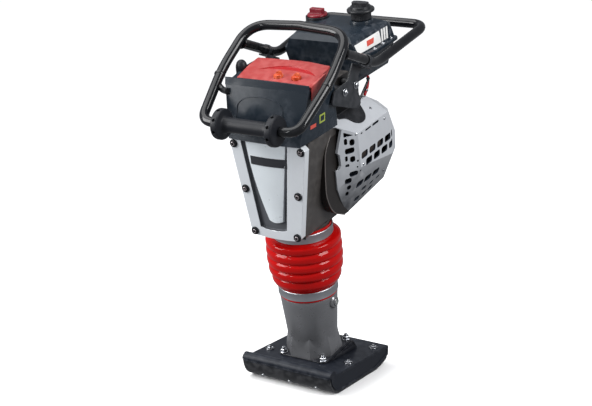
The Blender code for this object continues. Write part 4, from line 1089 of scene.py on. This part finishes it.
def make_recoil():
    low, high = leg_box("recoil_housing")
    middle = (low + high) / 2
    radius = (high.x - low.x) / 2
    profile = [(0.0, low.y), (radius, low.y), (radius, low.y + 0.007), (radius - 0.002, low.y + 0.0095),
            (0.06, low.y + 0.0105), (0.055, high.y - 0.003), (0.052, high.y - 0.0005), (0.05, high.y),
            (0.026, high.y), (0.024, high.y - 0.0015), (0.0, high.y - 0.0015)]
    housing = raw("recoil_cover", moved(turned(profile, 72, "v"), (middle.x, 0.0, middle.z)), "black")
    slots = []
    for i in range(14):
        angle = 2 * math.pi * i / 14
        if abs(math.degrees(angle) - 90) < 30:
            continue
        one = front_prism(pill(0.0385, 0.0, 0.0095, 0.0028), high.y - 0.006, high.y + 0.01)
        one.transform(Matrix.Rotation(-angle, 4, "Y"))
        slots.append(moved(one, (middle.x, 0.0, middle.z)))
    # the slots and the grip's seat take the painted shade look
    carve(housing, merge(slots), look="painted_shade_hollow")
    grip_low, grip_high = leg_box("recoil_grip")
    seat = [(grip_low.x - 0.0015, grip_high.x + 0.0015), (grip_low.z - 0.0015, grip_high.z + 0.0025)]
    carve(housing, box(seat[0], (grip_low.y - 0.0012, high.y + 0.02), seat[1]), look="painted_shade_hollow")
    dress(housing, "upper", "recoil_housing", bevel=0.001)
    bolts = []
    for degrees in (45, 135, 225, 315):
        angle = math.radians(degrees)
        at = (middle.x + 0.064 * math.cos(angle), low.y + 0.0085, middle.z + 0.064 * math.sin(angle))
        bolts.append(moved(hexagon(0.007, 0.0, 0.004, "v"), at))
    piece("recoil_screws", merge(bolts), "zinc", "upper", bevel=0.0003)
    grip_middle = (grip_low + grip_high) / 2
    bar = []
    for i in range(13):
        t = i / 12
        x = grip_low.x + 0.002 + (grip_high.x - grip_low.x - 0.004) * t
        bar.append((x, grip_high.y - 0.0065 - 0.001 * math.cos(2 * math.pi * t), grip_middle.z))
    swell = [0.0045] + [0.0062 + 0.0006 * math.cos(2 * math.pi * i / 10) for i in range(11)] + [0.0045]
    stem = spun([(0.0075, grip_low.y), (0.006, grip_low.y + 0.01), (0.005, grip_high.y - 0.008)], 24, "v")
    parts = [tube(bar, swell, 20), moved(stem, (grip_middle.x, 0.0, grip_middle.z))]
    piece("recoil_handle", merge(parts), "rubber", "grip", "recoil_grip", bevel=0.0)
    start, end = grip_low.y - 0.012, grip_low.y + 0.003
    path = [(grip_middle.x, start + (end - start) * i / 60, grip_middle.z) for i in range(61)]
    rope = raw("recoil_rope", tube(path, 0.0019, 12), "rope")
    dress(rope, None, bevel=0.0)
    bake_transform(rope)


# ------------------------------------------------------------------ handles
LOOP_SLOPE = math.radians(32.2)
HANDLE_R, AXLE_R = 0.013, 0.008
ROLLER = leg_middle("front_roller")
WELD = Vector((0.1545, 0.0235, 0.944))      # where the rear loop meets the front loop
KINK = Vector((0.152, 0.194, 0.858))        # and where it bends
SIDES = (("right", 1), ("left", -1))


def on_loop(x, along, off=0.0):
    """A point of the front loop's plane, measured up its slope from the roller, and off the plane."""
    cos, sin = math.cos(LOOP_SLOPE), math.sin(LOOP_SLOPE)
    return (x, ROLLER.y + along * cos - off * sin, ROLLER.z + along * sin + off * cos)


def make_handles():
    half = 0.091
    side = [on_loop(half + 0.0015, 0.0), on_loop(half + 0.003, 0.0), on_loop(0.143, 0.004),
            on_loop(0.162, 0.165), on_loop(0.15, 0.318), on_loop(0.0, 0.3285)]
    corners = side + [(-x, v, w) for x, v, w in reversed(side[:-1])]
    path = rounded(corners, [0, 0, 0.03, 0.045, 0.062, 0, 0.062, 0.045, 0.03, 0, 0], 12)
    radii = [HANDLE_R] * len(path)
    radii[0] = radii[-1] = AXLE_R
    piece("front_loop_tube", tube(path, radii, 28, closed=True), "paint", "upper",
            "front_loop", bevel=0.0, angle=40)
    for word, sign in SIDES:
        centre = Vector(on_loop(sign * 0.16, 0.1485))
        heading = Vector(on_loop(sign * 0.019, 0.161)) - ROLLER
        collar = turned([(0.012, -0.0035), (0.0141, -0.003), (0.0147, 0.0), (0.0141, 0.003),
                (0.012, 0.0035)], 40)
        piece(f"loop_collar_{word}", moved(aimed(collar, heading), centre), "paint", "upper",
                bevel=0.0, angle=60)
    strap = [on_loop(-0.1545, 0.122), on_loop(-0.14, 0.11, -0.01), (-0.112, -0.108, 0.859)]
    piece("loop_strap", tube(rounded(strap, [0, 0.014, 0], 10), 0.0085, 20), "paint", "upper",
            bevel=0.0, angle=60)
    start = WELD + (KINK - WELD).normalized() * 0.0135
    side = [tuple(start), tuple(KINK), (0.165, 0.462, 0.88)]
    corners = side + [(-x, v, w) for x, v, w in reversed(side)]
    path = rounded(corners, [0, 0.035, 0.045, 0.045, 0.035, 0], 12)
    piece("rear_loop_tube", tube(path, HANDLE_R, 28), "paint", "upper", "rear_loop",
            bevel=0.0, angle=40)
    beads = []
    for sign in (1, -1):
        heading = Vector((sign * (KINK - WELD).x, KINK.y - WELD.y, KINK.z - WELD.z)).normalized()
        collar = turned([(0.011, 0.0), (0.015, 0.0005), (0.0162, 0.003), (0.015, 0.0055), (0.0131, 0.0075),
                (0.011, 0.0075)], 36)
        beads.append(moved(aimed(collar, heading), Vector((sign * WELD.x, WELD.y,
                WELD.z)) + heading * 0.0105))
    piece("loop_weld_beads", merge(beads), "paint", "upper", bevel=0.0, angle=50)

    spool = [(AXLE_R + 0.0006, -half), (0.033, -half), (0.0385, -0.0885), (0.04, -0.084), (0.04, -0.0745),
            (0.0385, -0.0705), (0.034, -0.069), (0.0255, -0.068), (0.0215, -0.0655), (0.0196, -0.06),
            (0.019, -0.05)]
    spool = spool + [(radius, -height) for radius, height in reversed(spool)]
    roller = raw("roller_spool", moved(turned(spool, 72, "x"), ROLLER), "rubber")
    dimples = []
    for i in range(8):
        angle = 2 * math.pi * i / 8 + 0.2
        for place in (-0.0793, 0.0793):
            hole = disc(0.0042, 0.0345, 0.045, 20)
            hole.transform(Matrix.Rotation(angle, 4, "X"))
            dimples.append(moved(hole, Vector((place, 0, 0)) + ROLLER))
    carve(roller, merge(dimples), look="rubber")
    dress(roller, "roller", "front_roller", bevel=0.0006)


def make_brackets():
    weld = Vector((0.0, WELD.y, WELD.z))
    slope = (Vector((0.0, KINK.y, KINK.z)) - weld).normalized()
    down = Vector((0.0, slope.z, -slope.y))
    near = weld + slope * 0.105 + down * 0.014
    far = weld + slope * 0.168 + down * 0.014
    outline = eased([(-0.007, 0.812), (0.085, 0.77), (0.12, 0.757), (0.137, 0.765), (0.128, 0.8),
            (0.136, 0.848), (far.y, far.z), (near.y, near.z), (0.08, 0.846), (0.01, 0.842)],
            [0.008, 0.01, 0.01, 0.008, 0.01, 0.008, 0, 0, 0.01, 0.008])
    for word, sign in SIDES:
        low, high = sorted((sign * 0.128, sign * 0.1322))
        plate = raw(f"bracket_plate_{word}", side_prism(outline, low, high), "plate")
        shelf = [(near.y, near.z), (far.y, far.z), (far.y, far.z - 0.005), (near.y, near.z - 0.005)]
        low, high = sorted((sign * 0.1285, sign * 0.156))
        carve(plate, side_prism(shelf, low, high), "UNION")
        for number in (1, 2):
            at = leg_middle(f"rubber_mount_{word}_{number}")
            carve(plate, moved(disc(0.0078, -0.02, 0.02, 32, "x"), (sign * 0.13, at.y, at.z)))
        dress(plate, "upper", f"side_bracket_{word}", bevel=0.0009)
        for number in (1, 2):
            at = leg_middle(f"rubber_mount_{word}_{number}")
            base = (0.0, at.y, at.z)
            puck = [(0.0, 0.0945), (0.015, 0.0945), (0.016, 0.096), (0.016, 0.104), (0.0145, 0.108),
                    (0.014, 0.111), (0.0145, 0.1145), (0.016, 0.1185), (0.016, 0.126), (0.015, 0.1272),
                    (0.0, 0.1272)]
            puck = [(radius, sign * height) for radius, height in puck]
            piece(f"mount_puck_{word}_{number}", moved(turned(puck, 40, "x"), base), "rubber", "upper",
                    f"rubber_mount_{word}_{number}", bevel=0.0)
            stack = bolt_stack("x", (sign * 0.1325, at.y, at.z), (0.0112, 0.013, sign * 0.0062, 0.0038,
                    sign * 0.0088))
            piece(f"mount_bolt_{word}_{number}", merge(stack), "zinc", "upper", bevel=0.0004)
        clip = aimed(ring(HANDLE_R + 0.0002, HANDLE_R + 0.0022, -0.006, 0.006, 36), (0, slope.y, slope.z))
        moved(clip, Vector((sign * 0.1533, weld.y, weld.z)) + slope * 0.135)
        piece(f"bracket_clip_{word}", clip, "plate", "upper", bevel=0.0005)


# ------------------------------------------------------------------ air filter
def lid_height(v):
    return 0.8775 + (v + 0.095) * 0.13


LID_RIM = ((0.1245, -0.0905), (0.1245, 0.01), (0.12, 0.026), (0.05, 0.037), (-0.001, 0.037),
        (-0.108, 0.0315), (-0.1095, -0.012), (-0.102, -0.055), (-0.101, -0.0905))


def make_filter():
    lower = [(0.0, -0.1405, 0.742), (0.055, -0.1398, 0.742), (0.106, -0.136, 0.742), (0.113, -0.06, 0.742),
            (0.118, 0.033, 0.742)]
    upper = [(0.0, -0.1025), (0.065, -0.1015), (0.1245, -0.097), (0.125, 0.01), (0.119, 0.033)]
    upper = [(x, v, lid_height(v) - 0.0003) for x, v in upper]
    housing = raw("filter_case", hull(mirrored(lower + upper)), "slate")
    lip = bmesh.new()
    rows = []
    for i in range(25):
        x = -0.1248 + 0.2496 * i / 24
        bow = 0.0035 * (1 - (x / 0.1248) ** 2)
        top = 0.8925 + 0.0018 * (1 - (x / 0.1248) ** 2)
        profile = ((-0.0985 - bow, 0.874), (-0.0945 - bow * 0.8, top), (-0.0922, top), (-0.0922, 0.874))
        rows.append([lip.verts.new((x, v, w)) for v, w in profile])
    for one, other in zip(rows, rows[1:]):
        join(lip, one, other)
    lip.faces.new(rows[0])
    lip.faces.new(rows[-1])
    carve(housing, lip, "UNION")
    low, high = leg_box("intake_cap")
    ear = ((low.x + high.x) / 2, (low.y + high.y) / 2, 0.0)
    carve(housing, moved(disc(0.0165, 0.85, low.z - 0.0003, 40), ear), "UNION")
    carve(housing, moved(disc(0.0168, low.z - 0.0003, 0.92, 40), ear))
    inset, wall = 0.0045, 0.003
    low_in = [(x - inset, v + (inset if v < 0 else -inset), w + wall) for x, v, w in lower]
    top_in = [(x - inset, v + (inset if v < 0 else -inset), w - wall) for x, v, w in upper]
    # the inside takes the painted shade look
    carve(housing, hull(mirrored(low_in + top_in)), look="painted_shade_hollow")
    mouth = [(x * 0.9, -0.03 + (v + 0.03) * 0.86) for x, v in LID_RIM]
    carve(housing, plan_prism(mouth, 0.86, 0.92), look="slate")
    base = Vector((0.0, -0.138, 0.742))
    rise = Vector((0.0, -0.099 + 0.138, lid_height(-0.099) - 0.742)).normalized()

    def climbed(w):
        return (w - base.z) / rise.z

    arch = [(-0.086, climbed(0.786)), (-0.082, climbed(0.832)), (-0.06, climbed(0.848)),
            (-0.015, climbed(0.8545)), (0.03, climbed(0.85)), (0.054, climbed(0.834)),
            (0.055, climbed(0.8)), (0.045, climbed(0.785))]
    dress(housing, "upper", "filter_housing", bevel=0.0016, steps=3, angle=25)
    for word, look, v, w, half_long, half_high, lift in (("green", "tag", -0.038, 0.788, 0.0125, 0.0115,
            0.0004), ("middle", "slate", -0.038, 0.788, 0.008, 0.007, 0.0008),
            ("red", "mark", -0.078, 0.78, 0.012, 0.005, 0.0004)):
        corners = [(0.118, v + a * half_long, w + b * half_high) for a,
                b in ((-1, -1), (1, -1), (1, 1), (-1, 1))]
        decal("side_mark_" + word, housing, corners, (1, 0, 0), look, "upper", lift, (8, 6))
    groove = rounded([(x, along, 0.0) for x, along in arch], [0, 0.009, 0.012, 0.02, 0.018, 0.012, 0.01, 0],
            6)
    groove = [base + Vector((1, 0, 0)) * point.x + rise * point.y + Vector((0, -0.96,
            0.28)) * (0.0036 * (1 - (point.x / 0.11) ** 2)) for point in groove]
    piece("filter_front_rib", tube(groove, 0.0011, 12), "slate", "upper", bevel=0.0)

    thick = 0.011
    points = [(x, v, lid_height(v)) for x, v in LID_RIM]
    points += [(x * 0.965, v * 0.95, lid_height(v) + thick) for x, v in LID_RIM]
    lid = raw("filter_lid_cover", hull(points), "red")
    slant = Vector((0.0, 1.0, 0.13)).normalized()
    origin = Vector((0.0, 0.0, lid_height(0.0) + thick))
    crescent = []
    for i in range(21):
        t = i / 20
        crescent.append((-0.063 + 0.171 * t, (-0.027 - 0.007 * t) + 0.034 * 4 * t * (1 - t)))
    for i in range(19, 0, -1):
        t = i / 20
        crescent.append((-0.063 + 0.171 * t, (-0.027 - 0.007 * t) + 0.0135 * 4 * t * (1 - t)))
    carve(lid, slab(crescent, origin, (1, 0, 0), slant, -0.003, 0.02), look="red_dark")
    for word in ("left", "right"):
        seat = moved(disc(0.0118, -0.001, 0.03, 40), leg_seat(f"lid_knob_{word}"))
        carve(lid, seat, look="red_dark")
    dress(lid, "lid", "filter_lid", bevel=0.0022, steps=3, angle=24)
    tab = [(-0.0905, 0.8895), (-0.0905, 0.87), (-0.093, 0.853), (-0.062, 0.856), (-0.049, 0.876),
            (-0.016, 0.8905), (-0.015, 0.9)]
    flap = side_prism(eased(tab, [0.002, 0.004, 0.004, 0.008, 0.01, 0.006, 0.002]), 0.1258, 0.1288)
    piece("lid_flap", flap, "red", "lid", bevel=0.0009)
    strip = hull([(x, v, lid_height(v) + lift) for v in (-0.09, -0.015) for x in (0.118,
            0.1285) for lift in (0.007, 0.01)])
    piece("lid_flap_top", strip, "red", "lid", bevel=0.0009)
    for word in ("left", "right"):
        at = leg_seat(f"lid_knob_{word}")
        stem = spun([(0.0104, 0.0002), (0.0112, 0.0075), (0.0104, 0.0105), (0.0076, 0.0118)], 40)
        wing = slab(eased([(-0.0095, 0.008), (0.0095, 0.008), (0.01, 0.019), (0.0, 0.0205),
                (-0.006, 0.015)], [0.001, 0.001, 0.002, 0.003, 0.003]), (0, 0, 0), (1, 0, 0), (0, 0, 1),
                -0.0026, 0.0026)
        lobes = [moved(disc(0.0026, 0.001, 0.011, 16), (0.0102 * math.cos(a), 0.0102 * math.sin(a),
                0.0)) for a in (0.5, 1.6, 2.65, 3.7, 4.75, 5.8)]
        knob = merge([moved(part, at) for part in [stem, wing] + lobes])
        piece(f"knob_{word}", knob, "orange", f"knob_{word}", f"lid_knob_{word}",
                bevel=0.0006)
    low, high = leg_box("intake_cap")
    height = high.z - low.z
    reach = (high.x - low.x) / 2 + 0.0012
    dome = [(0.0, 0.0), (reach * 0.97, 0.0), (reach, 0.003), (reach, height * 0.36)]
    dome += [(reach * math.cos(a) ** 0.8,
            height * (0.36 + 0.64 * math.sin(a))) for a in [math.pi / 2 * i / 10 for i in range(1, 10)]]
    dome.append((0.0, height))
    piece("intake_dome", moved(turned(dome, 48), leg_seat("intake_cap")), "rubber", "upper",
            "intake_cap", bevel=0.0, angle=50)


# ------------------------------------------------------------------ fuel tank
def tank_decal(name, tank, sign, corners, look, lift, grid):
    """A decal on one side wall of the tank; the corners are those of the right side."""
    corners = [(sign * x, v, w) for x, v, w in corners]
    decal(name, tank, corners, (sign * 1.0, 0.0, 0.18), look, "upper", lift, grid)


def make_tank():
    base = [(0.094, 0.182, 0.8), (0.1, 0.352, 0.8), (0.112, 0.176, 0.874), (0.128, 0.35, 0.876)]
    crown = [(0.096, 0.174, 0.911), (0.118, 0.33, 0.927), (0.112, 0.354, 0.918), (0.08, 0.19, 0.924),
            (0.085, 0.32, 0.936)]
    tank = raw("tank_shell", hull(mirrored(base + crown)), "slate")
    cap_at = leg_seat("fuel_cap")
    carve(tank, moved(spun([(0.0335, 0.915), (0.032, 0.9345), (0.03, 0.94)], 56),
            (cap_at[0], cap_at[1], 0.0)), "UNION")
    inner = []
    for x, v, w in base + crown:
        inner.append((x - 0.006, v + 0.004 * (1.4 if v < 0.26 else -1.4),
                w + 0.004 * (1.5 if w < 0.85 else -1.5 if w > 0.9 else 0.0)))
    # the inside takes the painted shade look
    carve(tank, hull(mirrored(inner)), look="painted_shade_hollow")
    carve(tank, moved(disc(0.022, 0.88, 0.96, 48), (cap_at[0], cap_at[1], 0.0)))
    dress(tank, "upper", "fuel_tank", bevel=0.005, steps=4, angle=17)
    ledge = [(-0.124, 0.19), (0.124, 0.19), (0.136, 0.222), (0.136, 0.352), (0.126, 0.359), (-0.126, 0.359),
            (-0.136, 0.352), (-0.136, 0.222)]
    ledge = eased(ledge, [0.008, 0.008, 0.012, 0.005, 0.005, 0.005, 0.005, 0.012])
    rim = raw("tank_ledge", plan_prism(ledge, 0.8705, 0.8805), "slate")
    inside = [(x * 0.78, 0.268 + (v - 0.268) * 0.78) for x, v in ledge]
    carve(rim, plan_prism(inside, 0.86, 0.89))
    dress(rim, "upper", bevel=0.0022, steps=3)
    bolts = []
    for x, v in ((0.1265, 0.33), (0.128, 0.282), (0.129, 0.236)):
        for sign in (1, -1):
            bolts += bolt_stack("w", (sign * x, v, 0.88), (0.0062, 0.008, 0.0048, 0.0024, 0.0062))
    piece("ledge_bolts", merge(bolts), "zinc", "upper", bevel=0.0003)

    ribs = 40
    skirt = bmesh.new()
    levels = []
    for height, radius, rib in ((0.0004, 0.0262, 0.0), (0.0016, 0.0268, 0.0007), (0.0185, 0.0268, 0.0007),
            (0.02, 0.0265, 0.0)):
        row = []
        for i in range(ribs * 4):
            angle = 2 * math.pi * i / (ribs * 4)
            here = radius + (rib if i % 4 in (1, 2) else 0.0)
            row.append(skirt.verts.new((here * math.cos(angle), here * math.sin(angle), height)))
        levels.append(row)
    for lower_row, upper_row in zip(levels, levels[1:]):
        join(skirt, lower_row, upper_row)
    skirt.faces.new(levels[0])
    skirt.faces.new(levels[-1])
    flange = turned([(0.0, 0.0195), (0.035, 0.02), (0.0372, 0.022), (0.0374, 0.0265), (0.0358, 0.0288),
            (0.0285, 0.03), (0.0275, 0.035), (0.0262, 0.0362), (0.0, 0.0362)], 72)
    grip_outline = eased([(-0.0235, -0.0068), (-0.01, -0.0105), (0.01, -0.0105), (0.0235, -0.0068),
            (0.0235, 0.0068), (0.01, 0.0105), (-0.01, 0.0105), (-0.0235, 0.0068)], 0.003)
    grip = plan_prism(grip_outline, 0.034, 0.0458)
    cap = merge([moved(part, cap_at) for part in (skirt, flange, grip)])
    piece("fuel_cap_body", cap, "black", "cap", "fuel_cap", bevel=0.0009, steps=2)

    at = leg_seat("throttle_lever")
    dial = turned([(0.0, 0.0), (0.0272, 0.0), (0.028, 0.0015), (0.0278, 0.0048), (0.0255, 0.007),
            (0.0, 0.0074)], 56)
    block = raw("lever_body", moved(dial, at), "lever")
    carve(block, moved(plan_prism(eased([(-0.02, -0.0085), (0.02, -0.0085), (0.02, 0.0085),
            (-0.02, 0.0085)], 0.003), 0.002, 0.02), at), "UNION")
    dress(block, "lever", "throttle_lever", bevel=0.0012, steps=3)
    pointer = plan_prism([(-0.0016, 0.0095), (0.0016, 0.0095), (0.0, 0.022)], 0.0065, 0.0082)
    piece("lever_pointer", moved(pointer, at), "white", "lever", bevel=0.0003)
    gate = raw("lever_gate", moved(ring(0.0288, 0.0325, -0.0105, 0.0005, 56), at), "black")
    dress(gate, "upper", bevel=0.0008)

    low, high = leg_box("fuel_hose")
    x = (low.x + high.x) / 2
    path = rounded([(x, 0.24, high.z + 0.002), (x + 0.003, 0.233, 0.78), (x, 0.214, low.z + 0.0005)],
            [0, 0.016, 0], 14)
    piece("fuel_line", tube(path, 0.004, 20), "hose", "upper", "fuel_hose", bevel=0.0)
    clips = []
    for point, heading in ((path[1], path[2] - path[0]), (path[-2], path[-1] - path[-3])):
        clips.append(moved(aimed(ring(0.0039, 0.0052, -0.0022, 0.0022, 28), heading), point))
    piece("fuel_line_clips", merge(clips), "zinc", "upper", bevel=0.0)
    strut = tube([(0.11, 0.226, 0.802), (0.112, 0.18, 0.774), (0.114, 0.15, 0.7555)], 0.003, 16)
    strut_left = flipped(strut.copy())
    piece("tank_struts", merge([strut, strut_left]), "paint", "upper", bevel=0.0)

    right_wall = [(0.111, 0.18, 0.8825), (0.1215, 0.286, 0.8835), (0.115, 0.286, 0.914),
            (0.102, 0.18, 0.9055)]
    for word, sign in SIDES:
        tank_decal(f"tank_label_{word}", tank, sign, right_wall, "white", 0.0004, (12, 4))
        for number in range(3):
            v = 0.2885 + 0.0115 * number
            stripe = [(0.1225, v, 0.8845), (0.123, v + 0.0075, 0.8845), (0.1165, v + 0.0145, 0.915),
                    (0.116, v + 0.007, 0.915)]
            tank_decal(f"tank_stripe_{word}_{number}", tank, sign, stripe, "white", 0.0004, (3, 4))
        mark = [(0.116, 0.222, 0.891), (0.119, 0.252, 0.892), (0.116, 0.258, 0.905), (0.112, 0.228, 0.904)]
        tank_decal(f"tank_mark_{word}", tank, sign, mark, "mark", 0.0008, (4, 3))


# ------------------------------------------------------------------ the CAD nodes that stay as they are
def paint_frame():
    kept = {
        "guide_tube": "bronze", "cover_gasket": "gasket", "engine_block": "alloy", "muffler": "muffler",
        "carburettor": "alloy", "filter_element": "paper", "piston_rod": "steel", "wrist_pin": "zinc",
        "connecting_rod": "alloy", "crank_gear": "steel", "clutch_drum": "iron", "crankshaft": "steel",
        "flywheel": "alloy",
    }
    for node, look in kept.items():
        obj = frame["nodes"][node]
        obj.data.materials.clear()
        obj.data.materials.append(LOOKS[look])


paint_frame()
make_shoe()
make_leg()
make_bellows()
make_springs()
make_crankcase()
make_cover()
make_shroud()
make_recoil()
make_handles()
make_brackets()
make_filter()
make_tank()
